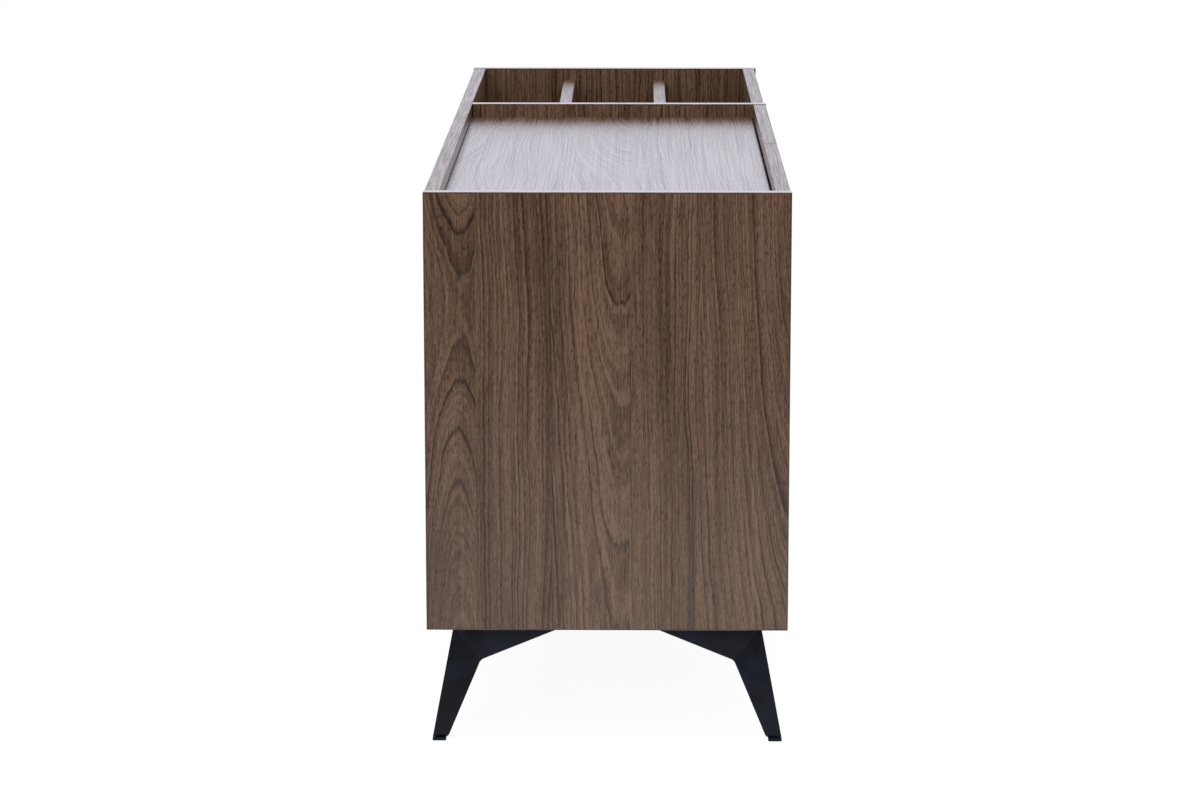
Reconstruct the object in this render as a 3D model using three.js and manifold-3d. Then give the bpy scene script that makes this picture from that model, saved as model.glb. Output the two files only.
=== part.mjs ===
// Office credenza: two hinged doors under a recessed top, and beside them three open bins over a
// drawer, in a case of walnut laminated board on four folded steel corner legs.
// Millimetres, +Z up. X runs along the length, the front faces -Y, and the origin is on the floor
// under the middle of the case.
import * as THREE from "three";
import { mergeVertices } from "three/addons/utils/BufferGeometryUtils.js";
import Module from "manifold-3d";

const wasm = await Module();
wasm.setup();

// Case
const LENGTH = 1440; // over the end panels
const DEPTH = 450; // front edge to back edge of the end panels
const CASE_HEIGHT = 550; // end panels
const LEG_HEIGHT = 145; // floor to the underside of the case, glides included
const BOARD = 18; // laminated board
const DRAWER_BAY = 473; // clear width between the bay divider and the right end panel
const TOP_RECESS = 19; // rim of the end panels down to the top
const RIM_STEP = 0.5; // doors, back and bin front end this far below the rim
const DOOR_SETBACK = 1; // doors and drawer front, behind the front edges of the end panels
const BIN_FRONT_SETBACK = 3; // bin front, behind the same edges
const BACK_SETBACK = 1; // back panel, ahead of the back edges of the end panels
const SEAT = 0.3; // clearance at each fixed joint

// Moving fronts
const FRONT_GAP = 2; // round each door and the drawer front
const FRONT_CLEARANCE = 2; // from the back of a closed front to the boards behind it
const FINGER_GAP = 22; // between the bin front and the drawer front, to pull the drawer by

// Bins and shelf
const BIN_DEPTH = 240; // rim down to the bin floor
const SHELF_RISE = 240; // clear height under the shelf
const SHELF_SETBACK = 20; // behind the front edge of the bottom
const SHELF_SIDE_GAP = 1;
const PIN_DIAMETER = 5;
const PIN_HEAD_DIAMETER = 8;
const PIN_HEAD_LENGTH = 8;
const PIN_GRIP = 9; // length in the board
const PIN_INSET = 37; // from the front and back edges of the shelf
const HOLE_CLEARANCE = 0.3; // round a pin, a cup or a stem

// Concealed hinges
const HINGE_INSET = 100; // from the door's ends
const CUP_DIAMETER = 35;
const CUP_DEPTH = 11.5;
const CUP_WALL = 1.5;
const CUP_EDGE = 5; // door edge to cup
const FLANGE_THICKNESS = 1.2;
const FLANGE_RIM = 2; // flange beyond the cup
const FLANGE_WIDTH = 22; // the two ears that take the screws
const FLANGE_HEIGHT = 58;
const PLATE_THICKNESS = 3;
const PLATE_WIDTH = 30;
const PLATE_HEIGHT = 50;
const PLATE_SETBACK = 53; // door's inner face to the middle of the plate
const ARM_LENGTH = 84; // behind the door's inner face
const ARM_WIDTH = 14;
const ARM_HEIGHT = 10;
const CRANK_BACK = 28; // where the arm starts to bend towards the cup
const CRANK_FRONT = 8; // where it points into the cup
const NOSE_WIDTH = 10;
const NOSE_REACH = 5; // into the cup
const NOSE_BIAS = 1; // nose beyond the cup's middle, clear of the cup as it swings
const BUMPER_DIAMETER = 9;
const BUMPER_INSET = 32; // from the door's free edge

// Drawer
const BOX_BOARD = 12;
const BOX_HEIGHT = 200;
const BOX_RISE = 12; // above the bottom of the bay
const BOX_BOTTOM = 6;
const GROOVE_DEPTH = 6;
const GROOVE_RISE = 10; // lower edge of the box to the groove
const SLIDE_LENGTH = 350;
const BOX_OVERHANG = 2; // box longer than its slides
const SLIDE_HEIGHT = 45;
const SLIDE_SPACE = 13; // each side of the box
const SLIDE_SHEET = 1.2;
const SLIDE_RACE = 0.7; // running clearance between the nested members

// Legs: folded sheet, the same seen from the end and from the front
const LEG_SHEET = 3;
const LEG_INSET = 32; // corner of the fold at the top, in from both faces of the case
const FOOT_INSET = 5.5; // corner of the fold at the foot
const FOOT_WIDTH = 20;
const KNEE_INSET = 66;
const KNEE_DROP = 46.5;
const KNEE_FILLET = 7;
const ARM_INSET = 179; // tip of the arm
const ARM_TIP = 14; // width of the mounting plate at the tip
const LEG_SCREW_HOLE = 5.5;
const LEG_SCREW_INSET = 14; // hole to the plate's nearest edges
const GLIDE_INSET = 5.9; // from the two faces of the case
const GLIDE_WIDTH = 17;
const GLIDE_THICKNESS = 4.2;
const GLIDE_STEM_DIAMETER = 5;
const GLIDE_STEM_LENGTH = 5;

const ROUND_SIDES = 24;
const PIN_SIDES = 12;

// Levels and faces that several pieces share
const caseBottom = LEG_HEIGHT;
const rim = LEG_HEIGHT + CASE_HEIGHT;
const endInner = LENGTH / 2 - BOARD;
const dividerRight = endInner - DRAWER_BAY;
const dividerLeft = dividerRight - BOARD;
const frontEdge = -DEPTH / 2;
const backEdge = DEPTH / 2;
const backInner = backEdge - BACK_SETBACK - BOARD;
const doorFront = frontEdge + DOOR_SETBACK;
const doorBack = doorFront + BOARD;
const boardFront = doorBack + FRONT_CLEARANCE;
const binFrontFace = frontEdge + BIN_FRONT_SETBACK;
const binFrontInner = binFrontFace + BOARD;
const topFace = rim - TOP_RECESS;
const bottomFace = caseBottom + BOARD;
const frontTop = rim - RIM_STEP;
const frontBottom = caseBottom + FRONT_GAP;
const binFloorFace = rim - BIN_DEPTH;
const binFloorUnder = binFloorFace - BOARD;
const drawerFrontTop = binFloorUnder - FINGER_GAP;
const shelfUnder = bottomFace + SHELF_RISE;

// Finishes
const finish = (color, roughness, metalness) => () =>
  new THREE.MeshStandardMaterial({ color, roughness, metalness });
const walnut = finish(0x614d40, 0.45, 0);
const blackSteel = finish(0x1f2126, 0.5, 0.2);
const zinc = finish(0xb4b6b8, 0.35, 0.9);
const nickel = finish(0xc6c4be, 0.28, 0.95);
const blackPlastic = finish(0x2e313c, 0.6, 0);
const clearRubber = finish(0xd8d8d4, 0.7, 0);

// Geometry helpers
function piece(name, geometry, material) {
  const mesh = new THREE.Mesh(geometry, material());
  mesh.name = name;
  return mesh;
}

// A box between two values on each axis.
function block([x0, x1], [y0, y1], [z0, z1]) {
  const box = new THREE.BoxGeometry(x1 - x0, y1 - y0, z1 - z0);
  return box.translate((x0 + x1) / 2, (y0 + y1) / 2, (z0 + z1) / 2);
}

// A round bar between two points on a line along X, Y or Z.
function bar(diameter, from, to, sides) {
  const axis = new THREE.Vector3().subVectors(to, from);
  const geometry = new THREE.CylinderGeometry(diameter / 2, diameter / 2, axis.length(), sides);
  const turn = new THREE.Quaternion().setFromUnitVectors(
    new THREE.Vector3(0, 1, 0), axis.clone().normalize());
  const middle = new THREE.Vector3().addVectors(from, to).multiplyScalar(0.5);
  return geometry.applyQuaternion(turn).translate(middle.x, middle.y, middle.z);
}

function outline(points) {
  return new THREE.Shape(points.map(([x, y]) => new THREE.Vector2(x, y)));
}

function extrude(shape, depth) {
  return new THREE.ExtrudeGeometry(shape, { depth, bevelEnabled: false });
}

function toSolid(geometry) {
  const bare = geometry.clone();
  bare.deleteAttribute("normal");
  bare.deleteAttribute("uv");
  const merged = mergeVertices(bare);
  return new wasm.Manifold(new wasm.Mesh({
    numProp: 3,
    vertProperties: new Float32Array(merged.attributes.position.array),
    triVerts: new Uint32Array(merged.index.array),
  }));
}

function toGeometry(solid) {
  const { vertProperties, triVerts } = solid.getMesh();
  const geometry = new THREE.BufferGeometry();
  geometry.setAttribute("position", new THREE.BufferAttribute(vertProperties, 3));
  geometry.setIndex(new THREE.BufferAttribute(triVerts, 1));
  geometry.computeVertexNormals();
  return geometry;
}

function join(...geometries) {
  return toGeometry(geometries.map(toSolid).reduce((whole, next) => whole.add(next)));
}

function cut(geometry, ...tools) {
  return toGeometry(tools.map(toSolid).reduce((whole, tool) => whole.subtract(tool), toSolid(geometry)));
}

// A sheet of metal folded along the shared edges of its facets. Each facet lists corners of the
// outer skin, and the inner skin has the same corners moved in by the thickness.
function foldedSheet(outer, inner, facets) {
  const count = outer.length;
  const triangles = [];
  const rimEdges = new Map();
  for (const facet of facets) {
    for (let i = 2; i < facet.length; i += 1) {
      triangles.push(facet[0], facet[i - 1], facet[i]);
      triangles.push(count + facet[0], count + facet[i], count + facet[i - 1]);
    }
    facet.forEach((from, i) => {
      const to = facet[(i + 1) % facet.length];
      if (!rimEdges.delete(`${to},${from}`)) {
        rimEdges.set(`${from},${to}`, [from, to]);
      }
    });
  }
  for (const [from, to] of rimEdges.values()) {
    triangles.push(to, from, count + from);
    triangles.push(to, count + from, count + to);
  }
  const corners = [...outer, ...inner].flatMap((corner) => corner.toArray());
  const geometry = new THREE.BufferGeometry();
  geometry.setAttribute("position", new THREE.Float32BufferAttribute(corners, 3));
  geometry.setIndex(triangles);
  geometry.computeVertexNormals();
  return geometry;
}

// Shelf pins: places that the holes and the pins share
const shelfFront = boardFront + SHELF_SETBACK;
const shelfBack = backInner - SEAT;
const pinHeight = shelfUnder - SEAT - PIN_HEAD_DIAMETER / 2;
const pinPlaces = [["front", shelfFront + PIN_INSET], ["back", shelfBack - PIN_INSET]];

function pinHoles(wall, intoBoard) {
  return pinPlaces.map(([, y]) => bar(
    PIN_DIAMETER + 2 * HOLE_CLEARANCE,
    new THREE.Vector3(wall - intoBoard, y, pinHeight),
    new THREE.Vector3(wall + intoBoard * (PIN_GRIP + HOLE_CLEARANCE), y, pinHeight),
    PIN_SIDES));
}

// The case: boards that are fixed together
function buildCase() {
  const group = new THREE.Group();
  const panelDepth = [frontEdge, backEdge];
  const panelHeight = [caseBottom, rim];
  const leftEnd = block([-LENGTH / 2, -endInner], panelDepth, panelHeight);
  const rightEnd = block([endInner, LENGTH / 2], panelDepth, panelHeight);
  const divider = block([dividerLeft, dividerRight], [frontEdge, backInner - SEAT], panelHeight);
  const doorBay = [-endInner + SEAT, dividerLeft - SEAT];
  const drawerBay = [dividerRight + SEAT, endInner - SEAT];
  const boardDepth = [boardFront, backInner - SEAT];
  const bottomHeight = [caseBottom, bottomFace];
  group.add(
    piece("left_end_panel", cut(leftEnd, ...pinHoles(-endInner, -1)), walnut),
    piece("right_end_panel", rightEnd, walnut),
    piece("bay_divider", cut(divider, ...pinHoles(dividerLeft, 1)), walnut),
    piece("back_panel", block(
      [-endInner + SEAT, endInner - SEAT],
      [backInner, backInner + BOARD],
      [caseBottom, frontTop]), walnut),
    piece("cabinet_top", block(doorBay, boardDepth, [topFace - BOARD, topFace]), walnut),
    piece("door_bay_bottom", block(doorBay, boardDepth, bottomHeight), walnut),
    piece("drawer_bay_bottom", block(drawerBay, boardDepth, bottomHeight), walnut));
  return group;
}

// Three open bins over the drawer
function buildBins() {
  const group = new THREE.Group();
  const bay = [dividerRight + SEAT, endInner - SEAT];
  const dividerNames = ["bin_divider_front", "bin_divider_rear"];
  const binWidth = (backInner - binFrontInner - dividerNames.length * BOARD) / (dividerNames.length + 1);
  group.add(
    piece("bin_front", block(bay, [binFrontFace, binFrontInner], [binFloorUnder, frontTop]), walnut),
    piece("bin_floor", block(
      bay,
      [binFrontInner + SEAT, backInner - SEAT],
      [binFloorUnder, binFloorFace]), walnut));
  dividerNames.forEach((name, i) => {
    const start = binFrontInner + binWidth * (i + 1) + BOARD * i;
    group.add(piece(name, block(bay, [start, start + BOARD], [binFloorFace + SEAT, topFace]), walnut));
  });
  return group;
}

// The shelf behind the doors, on four pins
function buildShelf() {
  const group = new THREE.Group();
  const left = -endInner + SHELF_SIDE_GAP;
  const right = dividerLeft - SHELF_SIDE_GAP;
  group.add(piece("shelf", block(
    [left, right], [shelfFront, shelfBack], [shelfUnder, shelfUnder + BOARD]), walnut));
  for (const [side, wall, intoBoard] of [["left", -endInner, -1], ["right", dividerLeft, 1]]) {
    for (const [place, y] of pinPlaces) {
      const at = (distance) => new THREE.Vector3(wall + intoBoard * distance, y, pinHeight);
      const peg = bar(PIN_DIAMETER, at(-SEAT - PIN_HEAD_LENGTH / 2), at(PIN_GRIP), PIN_SIDES);
      const head = bar(PIN_HEAD_DIAMETER, at(-SEAT - PIN_HEAD_LENGTH), at(-SEAT), PIN_SIDES);
      group.add(piece(`shelf_pin_${side}_${place}`, join(peg, head), zinc));
    }
  }
  return group;
}

// Doors, drawn from the hinge side: `inward` points from the hinged edge to the free edge
const doorWidth = (dividerLeft + endInner - 3 * FRONT_GAP) / 2;
const hingeHeights = [
  ["upper", frontTop - HINGE_INSET],
  ["lower", frontBottom + HINGE_INSET],
];
const cupAxis = FRONT_GAP + CUP_EDGE + CUP_DIAMETER / 2;

function hingeCup() {
  const outerRadius = CUP_DIAMETER / 2;
  const innerRadius = outerRadius - CUP_WALL;
  const mouth = SEAT + FLANGE_THICKNESS;
  const cup = new THREE.LatheGeometry([
    [0, -CUP_DEPTH],
    [outerRadius, -CUP_DEPTH],
    [outerRadius, mouth],
    [innerRadius, mouth],
    [innerRadius, CUP_WALL - CUP_DEPTH],
    [0, CUP_WALL - CUP_DEPTH],
  ].map(([radius, y]) => new THREE.Vector2(radius, y)), ROUND_SIDES);
  const flangeStart = new THREE.Vector3(0, SEAT, 0);
  const flangeEnd = new THREE.Vector3(0, mouth, 0);
  const ring = bar(CUP_DIAMETER + 2 * FLANGE_RIM, flangeStart, flangeEnd, ROUND_SIDES);
  const ears = block(
    [-FLANGE_WIDTH / 2, FLANGE_WIDTH / 2], [SEAT, mouth], [-FLANGE_HEIGHT / 2, FLANGE_HEIGHT / 2]);
  const opening = bar(
    2 * innerRadius, new THREE.Vector3(0, -SEAT, 0), new THREE.Vector3(0, 2 * mouth, 0), ROUND_SIDES);
  return join(cut(join(ring, ears), opening), cup).translate(cupAxis, 0, 0);
}

function hingeArm() {
  const base = PLATE_THICKNESS + 2 * SEAT;
  const crown = base + ARM_HEIGHT;
  const noseNear = cupAxis + NOSE_BIAS - NOSE_WIDTH / 2;
  const noseFar = noseNear + NOSE_WIDTH;
  const shape = outline([
    [base, ARM_LENGTH],
    [crown, ARM_LENGTH],
    [crown, CRANK_BACK],
    [noseFar, CRANK_FRONT],
    [noseFar, -NOSE_REACH],
    [noseNear, -NOSE_REACH],
    [noseNear, CRANK_FRONT / 2],
    [base, CRANK_BACK - ARM_HEIGHT / 2],
  ]);
  return extrude(shape, ARM_WIDTH).translate(0, 0, -ARM_WIDTH / 2);
}

function hingePlate() {
  return block(
    [SEAT, SEAT + PLATE_THICKNESS],
    [PLATE_SETBACK - PLATE_WIDTH / 2, PLATE_SETBACK + PLATE_WIDTH / 2],
    [-PLATE_HEIGHT / 2, PLATE_HEIGHT / 2]);
}

function buildDoor(side, wall, inward) {
  const group = new THREE.Group();
  const hinged = wall + inward * FRONT_GAP;
  const free = hinged + inward * doorWidth;
  const panel = block(
    [Math.min(hinged, free), Math.max(hinged, free)], [doorFront, doorBack], [frontBottom, frontTop]);
  const cupX = wall + inward * cupAxis;
  const bores = hingeHeights.map(([, z]) => bar(
    CUP_DIAMETER + 2 * HOLE_CLEARANCE,
    new THREE.Vector3(cupX, doorBack - CUP_DEPTH - HOLE_CLEARANCE, z),
    new THREE.Vector3(cupX, doorBack + SEAT, z),
    ROUND_SIDES));
  group.add(piece(`${side}_door`, cut(panel, ...bores), walnut));

  for (const [place, z] of hingeHeights) {
    const hinge = new THREE.Group();
    hinge.position.set(wall, doorBack, z);
    hinge.scale.x = inward;
    hinge.add(
      piece(`${side}_hinge_cup_${place}`, hingeCup(), nickel),
      piece(`${side}_hinge_arm_${place}`, hingeArm(), nickel),
      piece(`${side}_hinge_plate_${place}`, hingePlate(), nickel));
    group.add(hinge);
  }

  const bumperX = free - inward * BUMPER_INSET;
  for (const [place, z] of [["upper", topFace - BOARD / 2], ["lower", bottomFace - BOARD / 2]]) {
    group.add(piece(`${side}_bumper_${place}`, bar(
      BUMPER_DIAMETER,
      new THREE.Vector3(bumperX, doorBack + SEAT, z),
      new THREE.Vector3(bumperX, boardFront - SEAT, z),
      PIN_SIDES), clearRubber));
  }
  return group;
}

// The drawer: a grooved box behind its front, on a pair of slides
const boxLeft = dividerRight + SLIDE_SPACE;
const boxRight = endInner - SLIDE_SPACE;
const boxFront = doorBack + SEAT;
const boxBack = boxFront + SLIDE_LENGTH + BOX_OVERHANG;
const boxUnder = bottomFace + BOX_RISE;
const boxHeights = [boxUnder, boxUnder + BOX_HEIGHT];
const grooveHeights = [boxUnder + GROOVE_RISE, boxUnder + GROOVE_RISE + BOX_BOTTOM + 2 * SEAT];

function buildDrawer() {
  const group = new THREE.Group();
  const insideX = [boxLeft + BOX_BOARD, boxRight - BOX_BOARD];
  const insideY = [boxFront + BOX_BOARD, boxBack - BOX_BOARD];
  const grooveX = [insideX[0] - GROOVE_DEPTH, insideX[1] + GROOVE_DEPTH];
  const grooveY = [insideY[0] - GROOVE_DEPTH, insideY[1] + GROOVE_DEPTH];
  const groove = block(grooveX, grooveY, grooveHeights);
  const boxDepth = [boxFront, boxBack];
  const betweenSides = [insideX[0] + SEAT, insideX[1] - SEAT];
  const boards = {
    drawer_box_left: block([boxLeft, insideX[0]], boxDepth, boxHeights),
    drawer_box_right: block([insideX[1], boxRight], boxDepth, boxHeights),
    drawer_box_front: block(betweenSides, [boxFront, insideY[0]], boxHeights),
    drawer_box_back: block(betweenSides, [insideY[1], boxBack], boxHeights),
  };
  for (const [name, board] of Object.entries(boards)) {
    group.add(piece(name, cut(board, groove), walnut));
  }
  group.add(
    piece("drawer_box_bottom", block(
      [grooveX[0] + SEAT, grooveX[1] - SEAT],
      [grooveY[0] + SEAT, grooveY[1] - SEAT],
      [grooveHeights[0] + SEAT, grooveHeights[1] - SEAT]), walnut),
    piece("drawer_front", block(
      [dividerRight + FRONT_GAP, endInner - FRONT_GAP],
      [doorFront, doorBack],
      [frontBottom, drawerFrontTop]), walnut));
  return group;
}

// A slide member is a channel: its web at `web`, its two flanges ending at `lip`, as distances
// from the bay wall towards the box.
function channel(height, web, lip) {
  const half = height / 2;
  const inside = half - SLIDE_SHEET;
  const webInner = web + Math.sign(lip - web) * SLIDE_SHEET;
  const shape = outline([
    [web, -half], [lip, -half], [lip, -inside], [webInner, -inside],
    [webInner, inside], [lip, inside], [lip, half], [web, half],
  ]);
  return extrude(shape, SLIDE_LENGTH).rotateX(Math.PI / 2);
}

function buildSlide(side, wall, towardsBox) {
  const step = SLIDE_SHEET + SLIDE_RACE;
  const cabinetWeb = SEAT;
  const drawerWeb = SLIDE_SPACE - SEAT;
  const flangeEnd = drawerWeb - step;
  const slide = new THREE.Group();
  slide.position.set(wall, boxFront + SEAT + SLIDE_LENGTH, boxUnder + BOX_HEIGHT / 2);
  slide.scale.x = towardsBox;
  slide.add(
    piece(`${side}_slide_cabinet`, channel(SLIDE_HEIGHT, cabinetWeb, flangeEnd), zinc),
    piece(`${side}_slide_middle`, channel(SLIDE_HEIGHT - 2 * step, cabinetWeb + step, flangeEnd), zinc),
    piece(
      `${side}_slide_drawer`,
      channel(SLIDE_HEIGHT - 4 * step, drawerWeb, cabinetWeb + 2 * step),
      zinc));
  return slide;
}

// Legs, drawn for one corner: x and y are distances in from the two faces of the case, and z is
// measured down from its underside
const legTop = -SEAT;
const footLevel = GLIDE_THICKNESS + SEAT - LEG_HEIGHT;
const glideMiddle = GLIDE_INSET + GLIDE_WIDTH / 2;
const legCorner = new THREE.Vector3(LEG_INSET, LEG_INSET, legTop);
const legFoot = new THREE.Vector3(FOOT_INSET, FOOT_INSET, footLevel);
const legKnee = new THREE.Vector3(LEG_INSET, KNEE_INSET, legTop - KNEE_DROP);
const armTip = new THREE.Vector3(LEG_INSET, ARM_INSET, legTop);
const bladePlane = new THREE.Plane().setFromCoplanarPoints(legCorner, legKnee, legFoot);
const footSide = bladePlane.intersectLine(
  new THREE.Line3(
    new THREE.Vector3(-LEG_INSET, FOOT_INSET + FOOT_WIDTH, footLevel),
    new THREE.Vector3(ARM_INSET, FOOT_INSET + FOOT_WIDTH, footLevel)),
  new THREE.Vector3());

function legSheet() {
  // The fillet in the knee meets both edges and bulges along the fold.
  const towards = (from, to) => new THREE.Vector3().subVectors(to, from).normalize();
  const halfAngle = towards(legKnee, armTip).angleTo(towards(legKnee, footSide)) / 2;
  const tangent = KNEE_FILLET / Math.tan(halfAngle);
  const bulge = KNEE_FILLET / Math.sin(halfAngle) - KNEE_FILLET;
  const kneeOnArm = legKnee.clone().addScaledVector(towards(legKnee, armTip), tangent);
  const kneeOnFold = legKnee.clone().addScaledVector(towards(legCorner, legKnee), bulge);
  const kneeOnBlade = legKnee.clone().addScaledVector(towards(legKnee, footSide), tangent);

  const half = [armTip, kneeOnArm, kneeOnFold, kneeOnBlade, footSide];
  const otherHalf = half.map(({ x, y, z }) => new THREE.Vector3(y, x, z));
  const inX = new THREE.Vector3(LEG_SHEET, 0, 0);
  const inY = new THREE.Vector3(0, LEG_SHEET, 0);
  const inBoth = new THREE.Vector3().addVectors(inX, inY);
  const inner = [
    ...[legCorner, legFoot].map((corner) => corner.clone().add(inBoth)),
    ...half.map((corner) => corner.clone().add(inX)),
    ...otherHalf.map((corner) => corner.clone().add(inY)),
  ];
  return foldedSheet([legCorner, legFoot, ...half, ...otherHalf], inner, [
    [0, 2, 3, 4], [0, 4, 5, 6, 1],
    [0, 9, 8, 7], [0, 1, 11, 10, 9],
  ]);
}

function legGeometry() {
  const edge = LEG_INSET + LEG_SHEET / 2;
  const inside = edge + ARM_TIP;
  const plateEnd = ARM_INSET - 2 * LEG_SHEET;
  const mountingPlate = extrude(outline([
    [edge, edge], [plateEnd, edge], [plateEnd, inside], [inside, plateEnd], [edge, plateEnd],
  ]), LEG_SHEET).translate(0, 0, legTop - LEG_SHEET);
  const footStart = FOOT_INSET + LEG_SHEET / 2;
  const footBend = footSide.x + LEG_SHEET / 2;
  const footEnd = footSide.y - LEG_SHEET / 4;
  const footPlate = extrude(outline([
    [footStart, footStart], [footEnd, footBend], [footEnd, footEnd], [footBend, footEnd],
  ]), LEG_SHEET).translate(0, 0, footLevel);
  const drill = (x, y, z, diameter) => bar(
    diameter,
    new THREE.Vector3(x, y, z - 2 * LEG_SHEET),
    new THREE.Vector3(x, y, z + 2 * LEG_SHEET),
    PIN_SIDES);
  const near = edge + LEG_SCREW_INSET;
  const far = plateEnd - 2 * LEG_SCREW_INSET;
  const along = edge + LEG_SHEET + ARM_TIP / 2;
  const screwHoles = [[near, near], [far, along], [along, far]];
  return cut(
    join(legSheet(), mountingPlate, footPlate),
    ...screwHoles.map(([x, y]) => drill(x, y, legTop, LEG_SCREW_HOLE)),
    drill(glideMiddle, glideMiddle, footLevel, GLIDE_STEM_DIAMETER + 2 * HOLE_CLEARANCE));
}

function glideGeometry() {
  const start = glideMiddle - GLIDE_WIDTH / 2;
  const end = glideMiddle + GLIDE_WIDTH / 2;
  const pad = block([start, end], [start, end], [-LEG_HEIGHT, -LEG_HEIGHT + GLIDE_THICKNESS]);
  const stemFoot = new THREE.Vector3(glideMiddle, glideMiddle, -LEG_HEIGHT + GLIDE_THICKNESS / 2);
  const stemTop = new THREE.Vector3(
    glideMiddle, glideMiddle, -LEG_HEIGHT + GLIDE_THICKNESS + GLIDE_STEM_LENGTH);
  return join(pad, bar(GLIDE_STEM_DIAMETER, stemFoot, stemTop, PIN_SIDES));
}

function buildLegs() {
  const group = new THREE.Group();
  for (const [end, towardsRight] of [["left", 1], ["right", -1]]) {
    for (const [face, towardsBack] of [["front", 1], ["back", -1]]) {
      const corner = new THREE.Group();
      corner.position.set(-towardsRight * LENGTH / 2, -towardsBack * DEPTH / 2, caseBottom);
      corner.scale.set(towardsRight, towardsBack, 1);
      corner.add(
        piece(`leg_${face}_${end}`, legGeometry(), blackSteel),
        piece(`glide_${face}_${end}`, glideGeometry(), blackPlastic));
      group.add(corner);
    }
  }
  return group;
}

const credenza = new THREE.Group();
credenza.name = "credenza";
credenza.add(
  buildCase(),
  buildBins(),
  buildShelf(),
  buildDoor("left", -endInner, 1),
  buildDoor("right", dividerLeft, -1),
  buildDrawer(),
  buildSlide("left", dividerRight, 1),
  buildSlide("right", endInner, -1),
  buildLegs());

export default credenza;
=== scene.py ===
"""Looks of the office credenza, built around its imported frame.

Metres, +Z up. X runs along the length, the front faces -Y, and the origin is on the floor under
the middle of the case.
"""

from __future__ import annotations

import logging
import math
import random
from collections.abc import Iterable, Sequence
from dataclasses import dataclass, field
from enum import Enum

import bmesh
import bpy
from mathutils import Euler, Matrix, Vector
from mathutils.geometry import intersect_line_plane

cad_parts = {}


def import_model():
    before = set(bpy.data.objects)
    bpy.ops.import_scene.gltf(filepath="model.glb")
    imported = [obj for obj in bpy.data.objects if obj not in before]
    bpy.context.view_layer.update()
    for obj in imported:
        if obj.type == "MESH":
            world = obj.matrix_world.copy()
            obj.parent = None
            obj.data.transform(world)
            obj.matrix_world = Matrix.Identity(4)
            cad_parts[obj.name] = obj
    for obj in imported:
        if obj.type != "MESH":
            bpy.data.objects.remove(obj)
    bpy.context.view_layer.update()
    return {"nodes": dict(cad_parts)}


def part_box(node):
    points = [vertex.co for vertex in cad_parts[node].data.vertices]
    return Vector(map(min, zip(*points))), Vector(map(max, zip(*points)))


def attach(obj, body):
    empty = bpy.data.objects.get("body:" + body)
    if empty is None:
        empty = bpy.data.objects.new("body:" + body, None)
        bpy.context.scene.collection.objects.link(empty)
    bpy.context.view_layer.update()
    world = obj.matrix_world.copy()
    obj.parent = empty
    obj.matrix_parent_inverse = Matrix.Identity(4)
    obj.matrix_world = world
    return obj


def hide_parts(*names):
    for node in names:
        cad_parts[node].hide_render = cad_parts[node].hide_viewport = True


Socket = bpy.types.NodeSocket
Material = bpy.types.Material
Piece = bpy.types.Object
Shape = bmesh.types.BMesh
Colour = tuple[float, float, float, float]
Limits = tuple[float, float]
Point = tuple[float, float, float]

LOG = logging.getLogger("credenza")
MM = 0.001
CARCASS = "carcass"
WHITE: Colour = (1.0, 1.0, 1.0, 1.0)
DOWN = Vector((0.0, 0.0, -1.0))
ENDS = ("left", "right")
FACES = ("front", "back")
HEIGHTS = ("upper", "lower")


class Axis(Enum):
    """One of the frame's axes."""

    X = 0
    Y = 1
    Z = 2

    @property
    def unit(self) -> Vector:
        """The axis as a unit vector."""
        return Vector([1.0 if i == self.value else 0.0 for i in range(3)])


class Slot(Enum):
    """Material slots."""

    WALNUT = "walnut"
    BLACK_STEEL = "black_steel"
    ZINC = "zinc_steel"
    NICKEL = "nickel_steel"
    PLASTIC = "black_plastic"
    RUBBER = "clear_rubber"


def srgb(red: int, green: int, blue: int) -> Colour:
    """Turns a colour written as 0 to 255 into the linear colour that a socket takes.

    Args:
        red: Red, 0 to 255.
        green: Green, 0 to 255.
        blue: Blue, 0 to 255.

    Returns:
        The linear colour with an alpha of 1.
    """
    shares = [value / 255 for value in (red, green, blue)]
    linear = [part / 12.92 if part <= 0.04045 else ((part + 0.055) / 1.055) ** 2.4 for part in shares]
    return (*linear, 1.0)


def shades(colour: Colour, share: float) -> tuple[Colour, Colour]:
    """Gives a darker shade of a colour, and the colour itself."""
    return (*(part * share for part in colour[:3]), 1.0), colour


@dataclass(frozen=True)
class Grain:
    """Noise that is stretched along the grain.

    Attributes:
        across: Waves a metre across the grain.
        along: Waves a metre along it.
        shift: Keeps this noise apart from the others.
        detail: Octaves.
        roughness: Weight of the finer octaves.
    """

    across: float
    along: float
    shift: float = 0.0
    detail: float = 2.0
    roughness: float = 0.5


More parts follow.
